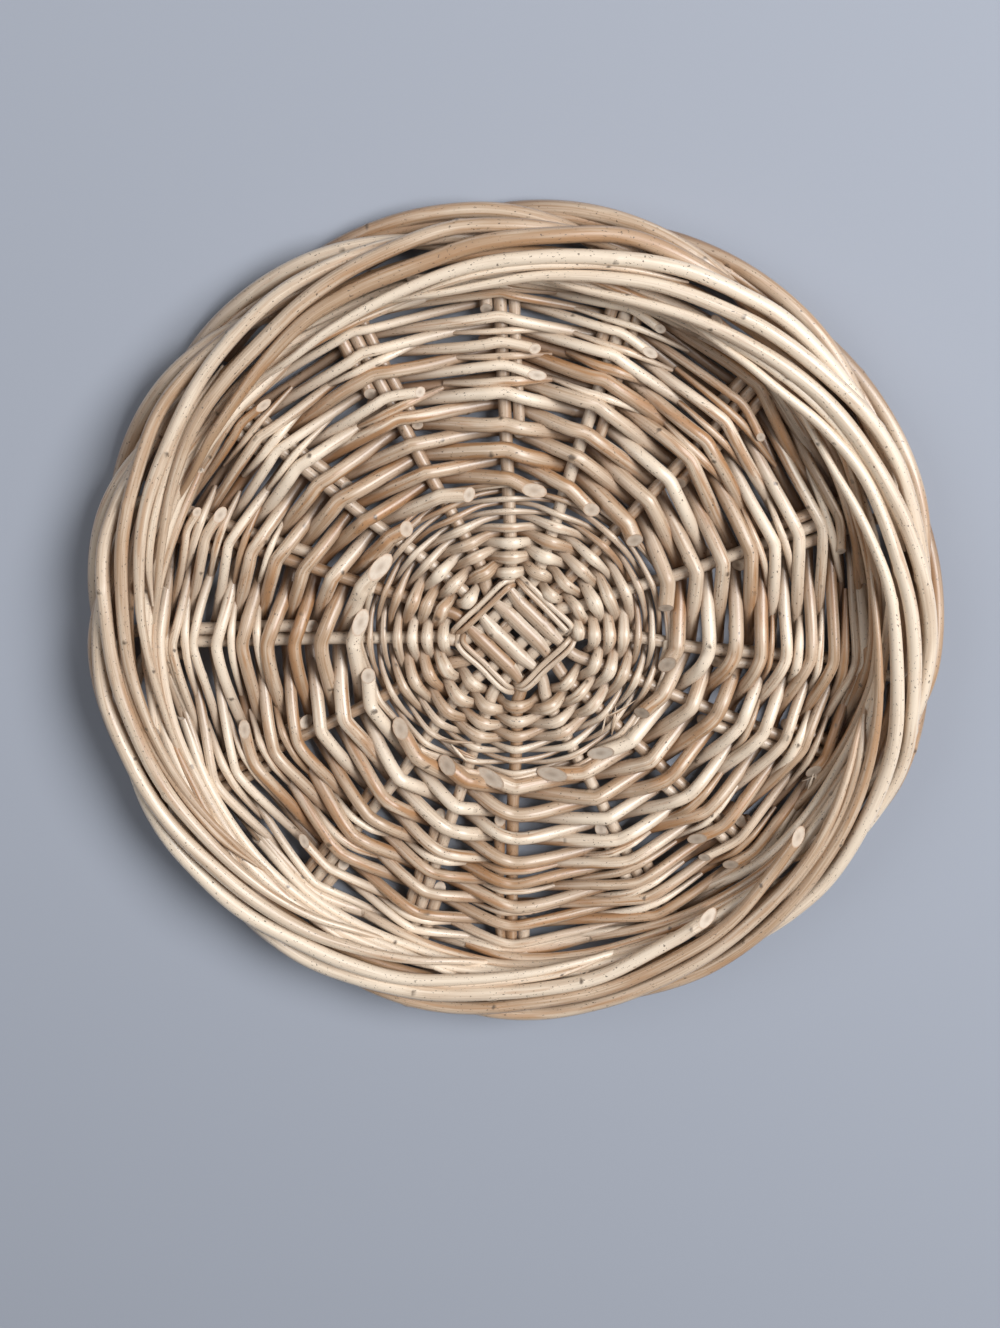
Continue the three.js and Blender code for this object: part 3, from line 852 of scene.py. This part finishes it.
def rand_stops(first_spoke, first_stroke, last_stroke, overhang, sizes, spot):
    """The rod's stops from one stroke to another, over even strokes and under odd ones."""
    stops = []
    for stroke in range(first_stroke, last_stroke + 1):
        spoke = first_spoke + stroke
        diameter = rand_diameter(stroke, sizes)
        radius = min(rand_radius(stroke, sizes), spot.weave_end + sizes.rand_tip / 3)
        height = sizes.stick / 2 + sizes.gap + diameter / 2
        has_stakes = radius + diameter > stake_start(spoke, sizes, spot)
        run = CROSSING_RUN_SHARE * height + (STAKE_RUN_SHARE * spot.stake_offset if has_stakes else 0)
        rise = rand_radius(stroke + 0.5, sizes) - rand_radius(stroke - 0.5, sizes)
        slope = rise / (radius * SPOKE_STEP)
        before = overhang + run / 2 if stroke == first_stroke else run
        tucked = stroke == last_stroke and stroke < RAND_STROKES
        z = spot.base_z + (-height if stroke % 2 or tucked else height)
        for along in (-before, 0, run):
            out = radius + along * slope - chord_inset(along, radius)
            at = polar(out, spoke_bearing(spoke, radius) + along / radius, z)
            stops.append(round_stop(at, diameter))
    return stops


class WICKER_OT_rand(bpy.types.Operator):
    """Weaves the slanting rows, each of a thick rod and a thinner one joined on to it"""

    bl_idname = "wicker.rand"
    bl_label = "Rand"

    def execute(self, context):
        sizes = context.scene.wicker_sizes
        spot = layout(sizes)
        rng = random.Random(RAND_SEED)
        for spoke, join in enumerate(JOIN_STROKES):
            name = f"rand_weaver_{spoke + 1}"
            overhang = sizes.butt_overhang * rng.uniform(*OVERHANG_SHARES)
            stops = rand_stops(spoke, 0, join, overhang, sizes, spot)
            cut = rng.uniform(*BUTT_CUTS)
            rod = willow_rod(stops, WEAVER_SEED + spoke, butt=cut, thicker=RAND_GIRTH, **WEAVER_LOOK)
            add_piece(f"willow_{name}", rod, "weaving_willow", name)
            overhang = sizes.butt_overhang * rng.uniform(*OVERHANG_SHARES)
            stops = rand_stops(spoke, join, RAND_STROKES + EXTRA_STROKES, overhang, sizes, spot)
            cut = rng.uniform(*BUTT_CUTS)
            rod = willow_rod(stops, JOINED_SEED + spoke, butt=cut, thicker=JOINED_GIRTH, **WEAVER_LOOK)
            add_piece(f"willow_{name}_joined", rod, "weaving_willow")
        return {"FINISHED"}


# Filling: thin rods laid in where the slanting rows leave room inside the rim
FILLING_SEED = 11
FILLING_STARTS = (0, 1, 2, 4, 5, 6, 8, 9, 10, 12, 13, 14, 15)
FILLING_SPAN_SPOKES = 5
FILLING_D = 0.0042
FILLING_OUT = (-0.0035, 0.0022)  # from the last row of the slanting weave
CLIMB_SPAN_SPOKES = 3
CLIMB_STEPS_PER_SPOKE = 2
CLIMB_D = (0.0046, 0.0034)
CLIMB_OUT = (-0.0010, 0.0045)
CLIMB_UP = (0.0056, 0.0165)  # above the base sticks
CLIMB_SWAY = 0.0008
CLIMB_BUTT_TUCK = 0.006  # down under the weave
CLIMB_TIP_TUCK = 0.003  # outwards under the ridge
PACKING_RODS = 50
PACKING_STROKES = (6, 8, 10, 12)
PACKING_D = (0.0028, 0.0044)
PACKING_REACH = (0.38, 0.52)  # of the way to the next spoke
PACKING_TIP = 0.6  # of the rod's width
PACKING_DIP = 0.6  # of the rod's rise over a spoke
FILLING_ROD_SEED = 360
FILLING_LOOK = {"butt": 1.3, "tip": 1.5, "bow": 0.002, "thicker": RAND_GIRTH}
CLIMBING_SEED = 380
CLIMBING_LOOK = {"butt": 1.3, "tip": -1.5, "bow": 0.0008}
PACKING_SEED = 600
PACKING_BOW = 0.0012


def packing_stops(spoke, stroke, diameter, reach, sizes, spot):
    """A short thin rod over one spoke, beside a rod that lies on it, with both ends tucked down."""
    beside = (rand_diameter(stroke, sizes) + diameter) / 2 * RAND_GIRTH[0]
    radius = rand_radius(stroke, sizes) + beside
    over = sizes.stick / 2 + diameter / 2
    run = spot.stake_offset / (radius * SPOKE_STEP)
    stops = []
    level = ((-run, 1, 1), (0, 1.05, 1), (run, 1, 0.9))
    for share, height, width in ((-reach, -PACKING_DIP, PACKING_TIP), *level):
        at = polar(radius, bearing_at(spoke + share, radius), spot.base_z + height * over)
        stops.append(round_stop(at, width * diameter))
    at = polar(radius + beside / 3, bearing_at(spoke + reach, radius), spot.base_z - PACKING_DIP * over)
    stops.append(round_stop(at, PACKING_TIP * diameter))
    return stops


def climbing_stops(first_spoke, spot):
    """A rod that climbs along the inner foot of the rim, with both ends tucked away."""
    stops = []
    steps = CLIMB_SPAN_SPOKES * CLIMB_STEPS_PER_SPOKE
    for step in range(steps + 1):
        share = step / steps
        place = first_spoke + 0.5 + step / CLIMB_STEPS_PER_SPOKE
        sway = CLIMB_SWAY * math.cos(math.pi * place)
        tuck_out = CLIMB_TIP_TUCK if step == steps else 0
        tuck_down = CLIMB_BUTT_TUCK if step == 0 else 0
        radius = spot.weave_end + lerp(*CLIMB_OUT, share) + sway + tuck_out
        z = spot.base_z + lerp(*CLIMB_UP, share) - tuck_down
        stops.append(round_stop(polar(radius, bearing_at(place, radius), z), lerp(*CLIMB_D, share)))
    return stops


class WICKER_OT_filling(bpy.types.Operator):
    """Lays the thin rods that fill the weave just inside the rim"""

    bl_idname = "wicker.filling"
    bl_label = "Filling"

    def execute(self, context):
        sizes = context.scene.wicker_sizes
        spot = layout(sizes)
        rng = random.Random(FILLING_SEED)
        run = spot.stake_offset
        for number, spoke in enumerate(FILLING_STARTS):
            radius = spot.weave_end + rng.uniform(*FILLING_OUT)
            stops = laid_stops(spoke, FILLING_SPAN_SPOKES, radius, FILLING_D, run, sizes, spot)
            rod = willow_rod(stops, FILLING_ROD_SEED + number, **FILLING_LOOK)
            add_piece(f"filling_rod_{number + 1}", rod, "weaving_willow")
        for spoke in range(SPOKES):
            stops = climbing_stops(spoke, spot)
            rod = willow_rod(stops, CLIMBING_SEED + spoke, **CLIMBING_LOOK)
            add_piece(f"climbing_rod_{spoke + 1}", rod, "weaving_willow")
        places = [(spoke, stroke) for spoke in range(SPOKES) for stroke in PACKING_STROKES]
        for number, (spoke, stroke) in enumerate(rng.sample(places, PACKING_RODS)):
            diameter = rng.uniform(*PACKING_D)
            stops = packing_stops(spoke, stroke, diameter, rng.uniform(*PACKING_REACH), sizes, spot)
            rod = willow_rod(stops, PACKING_SEED + number, bow=PACKING_BOW)
            add_piece(f"packing_rod_{number + 1}", rod, "weaving_willow")
        return {"FINISHED"}


# Splinters: frayed ends that stand out of the weave
SPLINTER_SEED = 5
SPLINTER_TUFTS = ((0.055, -117), (0.054, -41), (0.146, -26))  # radius, and bearing in degrees
SPLINTERS_PER_TUFT = 4
SPLINTER_LENGTH = (0.008, 0.016)
SPLINTER_WIDTH = (0.0008, 0.0016)
SPLINTER_RISE = 0.0055  # of its middle above the base sticks
SPLINTER_SHIFT = (-0.004, 0.004)
SPLINTER_TURN = (-0.7, 0.7)
SPLINTER_ROD_SEED = 700
SPLINTER_LOOK = {"sides": 6, "spacing": 0.001, "bow": 0.001}


def splinter_stops(middle, bearing, length, width):
    """A sliver that is thickest in the middle and bends down to its points."""
    stops = []
    for share, thickness in ((-0.5, 0.25), (-0.15, 1), (0.15, 0.9), (0.5, 0.15)):
        at = middle + polar(share * length, bearing, -abs(share) * length / 4)
        stops.append(Stop(at, width / 2 * thickness, width / 3 * thickness))
    return stops


class WICKER_OT_splinters(bpy.types.Operator):
    """Lays the frayed slivers on the weave"""

    bl_idname = "wicker.splinters"
    bl_label = "Splinters"

    def execute(self, context):
        spot = layout(context.scene.wicker_sizes)
        rng = random.Random(SPLINTER_SEED)
        for tuft, (radius, degrees) in enumerate(SPLINTER_TUFTS):
            bearing = math.radians(degrees)
            for number in range(SPLINTERS_PER_TUFT):
                shift = Vector((rng.uniform(*SPLINTER_SHIFT), rng.uniform(*SPLINTER_SHIFT), 0))
                middle = polar(radius, bearing, spot.base_z + SPLINTER_RISE) + shift
                turned = bearing + math.pi / 2 + rng.uniform(*SPLINTER_TURN)
                length = rng.uniform(*SPLINTER_LENGTH)
                stops = splinter_stops(middle, turned, length, rng.uniform(*SPLINTER_WIDTH))
                index = tuft * SPLINTERS_PER_TUFT + number
                rod = willow_rod(stops, SPLINTER_ROD_SEED + index, **SPLINTER_LOOK)
                add_piece(f"splinter_{index + 1}", rod, "weaving_willow")
        return {"FINISHED"}


# Border: side stakes pushed in beside each stick and bent over into the rim
RIDGE_GIRTH = (0.92, 1.12)
RIDGE_TOP_START = 1.25  # spokes passed when a strand reaches the top of the rim
RIDGE_WIDTH_STRANDS = 4
RIDGE_STEPS = 6
OUTER_SLOPE = 0.0035  # fall of the ridge towards its outer side
# Ends of the ridge strands, as spokes passed, strands inwards and strands down: tucked in, or cut off
TUCKED_ENDING = ((4.4, 0.2, 0.8), (4.8, -0.3, 2.3))
CUT_ENDING = ((4.25, 0.2, 0.3), (4.4, 0.3, 0.5))
TUCKED_TIP = 0.45  # of the strand's width
CUT_TIP = 0.9
CUT_RIDGES = (9, 10)
FILLED_RIDGES = (0, 3, 5, 8, 11, 14)
FILLER_D = (0.0012, 0.0036)  # at its ends and in its middle
FILLER_START = 0.35  # of the way over the ridge
FILLER_SINK = 0.0014
FILLER_END_SINK = 0.0055
TIP_STOPS = 7
EDGE_START_SHARES = (0.86, 0.62, 0.78, 0.7)
RIDGE_SEED = 400
RIDGE_LOOK = {"butt": 1.0, "tip": -1.8, "bow": 0.0016, "thicker": RIDGE_GIRTH}
FILLER_SEED = 420
FILLER_LOOK = {"bow": 0.0016, "thicker": RIDGE_GIRTH}
EDGE_SEED = 450
EDGE_LOOK = {"butt": 1.0, "tip": 1.0, "thicker": EDGE_GIRTH}


def stake_stops(spoke, side, start, route, diameter, tip_share, sizes, spot):
    """A stop of the route has: spokes passed, share of the sideways offset kept, radius and height."""
    stops = []
    for radius in (start, lerp(start, spot.weave_end, 0.5), spot.weave_end):
        bearing = spoke_bearing(spoke, radius) + side * spot.stake_offset / radius
        stops.append(round_stop(polar(radius, bearing, spot.base_z), sizes.stake))
    for index, (passed, share, radius, z) in enumerate(route):
        bearing = bearing_at(spoke + passed, radius) + side * share * spot.stake_offset / radius
        thick = lerp(sizes.stake, diameter, smoothstep(index, 0, 4))
        thick *= lerp(1, tip_share, smoothstep(index, len(route) - TIP_STOPS, len(route) - 1))
        stops.append(round_stop(polar(radius, bearing, z), thick))
    return stops


def ridge_route(ending, sizes, spot):
    """Up outside the wale at a slant, then along the top of the rim, moving inwards."""
    climb = ((0, 1, 2.8, 0.03), (0.02, 1, 1.5, 0.15), (0.15, 0.7, 0.95, 0.34), (0.35, 0.3, 0.5, 0.52))
    climb += ((0.6, 0, 0.2, 0.62), (0.9, 0, 0, 0.72))
    route = []
    for passed, share, inset, rise in climb:
        z = lerp(spot.base_z, spot.ridge_z, rise)
        route.append((passed, share, spot.ridge_r - inset * spot.strand, z))
    for step in range(RIDGE_STEPS + 1):
        share = step / RIDGE_STEPS
        passed = lerp(RIDGE_TOP_START, RIDGE_SPAN_SPOKES, share)
        drop = sizes.ridge_drop * (2 * share - 1) ** 4 + OUTER_SLOPE * max(1 - 2 * share, 0) ** 2
        radius = spot.ridge_r - share * RIDGE_WIDTH_STRANDS * spot.strand
        route.append((passed, 0, radius, spot.ridge_z - drop))
    for passed, more, fall in ending:
        inset = RIDGE_WIDTH_STRANDS + more
        route.append((passed, 0, spot.ridge_r - inset * spot.strand, spot.ridge_z - fall * spot.strand))
    return route


def ridge_filler_stops(spoke, sizes, spot):
    """A thin strand in the groove between two ridge strands, with both ends sunk between them."""
    stops = []
    for step in range(RIDGE_STEPS + 1):
        share = step / RIDGE_STEPS
        over_ridge = lerp(FILLER_START, 1, share)
        place = spoke + 0.5 + lerp(RIDGE_TOP_START, RIDGE_SPAN_SPOKES, over_ridge)
        radius = spot.ridge_r - over_ridge * RIDGE_WIDTH_STRANDS * spot.strand
        from_middle = (2 * share - 1) ** 4
        sink = lerp(FILLER_SINK, FILLER_END_SINK, from_middle) + sizes.ridge_drop * from_middle
        at = polar(radius, bearing_at(place, radius), spot.ridge_z - sink)
        stops.append(round_stop(at, lerp(*FILLER_D, 1 - from_middle)))
    return stops


def edge_route(spot):
    """Under the ridge, round the outside of the rim, and back under it as its foot."""
    outward = ((0, 1, 3.9, 0.1), (0.18, 0.8, 2.7, 0.6), (0.42, 0.3, 1.65, 1.2), (0.7, 0, 0.8, 1.5))
    outward += ((1, 0, 0.2, 1.3), (1.3, 0, 0, 0.65))
    under = ((1.6, 0.05, 0.05), (1.9, 0.35, 0.5), (2.15, 0.9, 0.82))
    under += ((2.35, 1.4, 1), (2.55, 1.8, 1), (2.75, 2.2, 1))
    route = []
    for passed, share, inset, rise in outward:
        route.append((passed, share, spot.edge_r - inset * spot.strand, spot.base_z + rise * spot.strand))
    for passed, inset, fall in under:
        route.append((passed, 0, spot.edge_r - inset * spot.strand, lerp(spot.base_z, spot.foot_z, fall)))
    return route


class WICKER_OT_ridge_stakes(bpy.types.Operator):
    """Bends the stakes that lie along the top of the rim, with a few thin strands between them"""

    bl_idname = "wicker.ridge_stakes"
    bl_label = "Ridge Stakes"

    def execute(self, context):
        sizes = context.scene.wicker_sizes
        spot = layout(sizes)
        tucked = ridge_route(TUCKED_ENDING, sizes, spot)
        cut = ridge_route(CUT_ENDING, sizes, spot)
        for spoke in range(SPOKES):
            name = f"ridge_stake_{spoke + 1}"
            start = stake_start(spoke, sizes, spot)
            route, share = (cut, CUT_TIP) if spoke in CUT_RIDGES else (tucked, TUCKED_TIP)
            stops = stake_stops(spoke, -1, start, route, sizes.ridge, share, sizes, spot)
            rod = willow_rod(stops, RIDGE_SEED + spoke, **RIDGE_LOOK)
            add_piece(f"willow_{name}", rod, "border_willow", name)
        for number, spoke in enumerate(FILLED_RIDGES):
            stops = ridge_filler_stops(spoke, sizes, spot)
            rod = willow_rod(stops, FILLER_SEED + spoke, **FILLER_LOOK)
            add_piece(f"ridge_filler_{number + 1}", rod, "border_willow")
        return {"FINISHED"}


class WICKER_OT_edge_stakes(bpy.types.Operator):
    """Bends the thick stakes that go round the outside of the rim"""

    bl_idname = "wicker.edge_stakes"
    bl_label = "Edge Stakes"

    def execute(self, context):
        sizes = context.scene.wicker_sizes
        spot = layout(sizes)
        route = edge_route(spot)
        for spoke in range(SPOKES):
            name = f"edge_stake_{spoke + 1}"
            share = EDGE_START_SHARES[spoke % len(EDGE_START_SHARES)]
            start = lerp(sizes.rand_start, spot.weave_end, share)
            stops = stake_stops(spoke, 1, start, route, sizes.edge, 1, sizes, spot)
            rod = willow_rod(stops, EDGE_SEED + spoke, **EDGE_LOOK)
            add_piece(f"willow_{name}", rod, "border_willow", name)
        return {"FINISHED"}


# Wale: rods coiled on the stakes, inside the roll of the border
WALE_STEPS = 32
WALE_SEED = 500
WALE_LOOK = {"spacing": 0.003, "butt": 1.0, "tip": 1.0, "bow": 0.0003}


def wale_stops(radius, low, high, sizes):
    pitch = sizes.wale + sizes.gap
    steps = math.floor((high - low) / pitch * WALE_STEPS)
    stops = []
    for step in range(steps + 1):
        turn = step / WALE_STEPS
        stops.append(round_stop(polar(radius, turn * 2 * math.pi, low + turn * pitch), sizes.wale))
    return stops


class WICKER_OT_wale(bpy.types.Operator):
    """Coils the two wale rods on the stakes"""

    bl_idname = "wicker.wale"
    bl_label = "Wale"

    def execute(self, context):
        sizes = context.scene.wicker_sizes
        spot = layout(sizes)
        on_stakes = spot.base_z + (sizes.stake + sizes.wale) / 2 + sizes.gap
        under_ridge = spot.ridge_z - (sizes.ridge + sizes.wale) / 2 - sizes.gap
        inner = wale_stops(spot.wale_inner_r, on_stakes, under_ridge - sizes.ridge_drop / 2, sizes)
        outer_low = on_stakes + OUTER_WALE_RISE_STRANDS * spot.strand
        outer = wale_stops(spot.wale_outer_r, outer_low, under_ridge, sizes)
        for number, (name, stops) in enumerate((("wale_rod_inner", inner), ("wale_rod_outer", outer))):
            rod = willow_rod(stops, WALE_SEED + number, **WALE_LOOK)
            add_piece(f"willow_{name}", rod, "wale_willow", name)
        return {"FINISHED"}


# Core: rods laid in the hollow of the border, seen only through its gaps
CORE_RODS = 3
CORE_SPAN_TURNS = 0.38
CORE_TIP = 0.8  # of the rod's width
CORE_SEED = 520
CORE_LOOK = {"spacing": 0.004, "butt": 1.0, "tip": 1.0}
CORE_RINGS = ((0.45, 0.0094, 0.0056), (-0.38, 0.0115, 0.0046))  # strands inside the ridge, height, diameter


class WICKER_OT_core(bpy.types.Operator):
    """Lays the core rods inside the roll of the border"""

    bl_idname = "wicker.core"
    bl_label = "Core"

    def execute(self, context):
        spot = layout(context.scene.wicker_sizes)
        for ring, (inset, height, diameter) in enumerate(CORE_RINGS):
            for number in range(CORE_RODS):
                start = 2 * math.pi * (number + ring / 2) / CORE_RODS
                stops = []
                for step in range(WALE_STEPS + 1):
                    share = step / WALE_STEPS
                    bearing = start + 2 * math.pi * CORE_SPAN_TURNS * share
                    at = polar(spot.ridge_r - inset * spot.strand, bearing, height)
                    stops.append(round_stop(at, lerp(diameter, CORE_TIP * diameter, share)))
                index = ring * CORE_RODS + number
                rod = willow_rod(stops, CORE_SEED + index, **CORE_LOOK)
                add_piece(f"core_rod_{index + 1}", rod, "wale_willow")
        return {"FINISHED"}


# Stage: plain floor, soft light from the right, and the camera at the photograph's angle
CAMERA_TILT_DEG = 18.5
CAMERA_DISTANCE = 0.770
CAMERA_FOCUS_PX = 1800
TRAY_MIDDLE_PX = (514.8, 626)
SENSOR_WIDTH = 36
FLOOR_RADIUS = 1.6
FLOOR_ROUGHNESS = 0.9
WINDOW_PLACE = (1.35, 0.6, 1.75)
WINDOW_SIZE = 1.3
WINDOW_POWER = 66
FILL_PLACE = (-1.2, 0.5, 1.3)
FILL_SIZE = 1.2
FILL_POWER = 8
LAMP_COLOUR = (0.98, 0.99, 1.0)
WORLD_COLOUR = (0.92, 0.95, 1.0)
WORLD_STRENGTH = 0.08
BACKDROP_STRENGTH = 0.3


def add_floor(colours):
    bm = bmesh.new()
    bmesh.ops.create_circle(bm, cap_ends=True, radius=FLOOR_RADIUS, segments=96)
    floor = add_object("floor", mesh_from(bm, "floor"))
    material = bpy.data.materials.new("floor")
    shader = principled_of(material)[1]
    shader.inputs["Base Color"].default_value = (*colours.floor, 1)
    shader.inputs["Roughness"].default_value = FLOOR_ROUGHNESS
    floor.data.materials.append(material)


def add_lamp(name, place, size, power):
    """A round lamp that faces the middle of the tray."""
    lamp = bpy.data.lights.new(name, "AREA")
    lamp.shape = "DISK"
    lamp.size = size
    lamp.energy = power
    lamp.color = LAMP_COLOUR
    shown = add_object(name, lamp)
    shown.location = place
    shown.rotation_euler = (-Vector(place)).to_track_quat("-Z", "Y").to_euler()


def add_world():
    """Faint light from all round, and a pale backdrop where it is seen."""
    world = bpy.data.worlds.new("studio")
    world.use_nodes = True
    tree = world.node_tree
    rays = tree.nodes.new("ShaderNodeLightPath").outputs
    mirrored = math_node(tree, "MAXIMUM", rays["Is Glossy Ray"], rays["Is Transmission Ray"])
    seen = math_node(tree, "MAXIMUM", rays["Is Camera Ray"], mirrored)
    background = tree.nodes["Background"]
    background.inputs["Color"].default_value = (*WORLD_COLOUR, 1)
    tree.links.new(spread(tree, seen, 0, 1, WORLD_STRENGTH, BACKDROP_STRENGTH), background.inputs["Strength"])
    bpy.context.scene.world = world


def add_camera():
    view = bpy.data.cameras.new("photo_view")
    long_side = max(PHOTO_SIZE)
    view.sensor_width = SENSOR_WIDTH
    view.lens = CAMERA_FOCUS_PX * view.sensor_width / long_side
    view.shift_x = -(TRAY_MIDDLE_PX[0] - PHOTO_SIZE[0] / 2) / long_side
    view.shift_y = (TRAY_MIDDLE_PX[1] - PHOTO_SIZE[1] / 2) / long_side
    camera = add_object("photo_view", view)
    tilt = math.radians(CAMERA_TILT_DEG)
    camera.location = (0, CAMERA_DISTANCE * math.sin(tilt), CAMERA_DISTANCE * math.cos(tilt))
    camera.rotation_euler = (-tilt, 0, 0)
    bpy.context.scene.camera = camera


class WICKER_OT_stage(bpy.types.Operator):
    """Sets the floor, the soft light and the camera"""

    bl_idname = "wicker.stage"
    bl_label = "Stage"

    def execute(self, context):
        add_floor(context.scene.wicker_colours)
        add_lamp("window", WINDOW_PLACE, WINDOW_SIZE, WINDOW_POWER)
        add_lamp("fill", FILL_PLACE, FILL_SIZE, FILL_POWER)
        add_world()
        add_camera()
        context.scene.view_settings.view_transform = "Standard"
        return {"FINISHED"}


class WICKER_OT_finishes(bpy.types.Operator):
    """Makes the willow skins and the cut-end finish"""

    bl_idname = "wicker.finishes"
    bl_label = "Finishes"

    def execute(self, context):
        make_finishes(context.scene.wicker_colours)
        return {"FINISHED"}


STEPS = (
    WICKER_OT_finishes,
    WICKER_OT_base_sticks,
    WICKER_OT_pairing,
    WICKER_OT_rand,
    WICKER_OT_filling,
    WICKER_OT_splinters,
    WICKER_OT_ridge_stakes,
    WICKER_OT_edge_stakes,
    WICKER_OT_wale,
    WICKER_OT_core,
    WICKER_OT_stage,
)


class WICKER_PT_tray(bpy.types.Panel):
    """Lists the tray's sizes, colours and steps"""

    bl_idname = "WICKER_PT_tray"
    bl_label = "Wicker Tray"
    bl_space_type = "VIEW_3D"
    bl_region_type = "UI"
    bl_category = "Wicker Tray"

    def draw(self, context):
        for group in (context.scene.wicker_sizes, context.scene.wicker_colours):
            column = self.layout.column()
            for name in group.__annotations__:
                column.prop(group, name)
        for step in STEPS:
            self.layout.operator(step.bl_idname)


CLASSES = (TraySizes, WillowColours, *STEPS, WICKER_PT_tray)


def register():
    for entry in CLASSES:
        bpy.utils.register_class(entry)
    bpy.types.Scene.wicker_sizes = PointerProperty(type=TraySizes)
    bpy.types.Scene.wicker_colours = PointerProperty(type=WillowColours)


def unregister():
    del bpy.types.Scene.wicker_colours
    del bpy.types.Scene.wicker_sizes
    for entry in reversed(CLASSES):
        bpy.utils.unregister_class(entry)


def main():
    register()
    bpy.ops.wicker.finishes()
    bpy.ops.wicker.base_sticks()
    bpy.ops.wicker.pairing()
    bpy.ops.wicker.rand()
    bpy.ops.wicker.filling()
    bpy.ops.wicker.splinters()
    bpy.ops.wicker.ridge_stakes()
    bpy.ops.wicker.edge_stakes()
    bpy.ops.wicker.wale()
    bpy.ops.wicker.core()
    bpy.ops.wicker.stage()


if __name__ == "__main__":
    main()
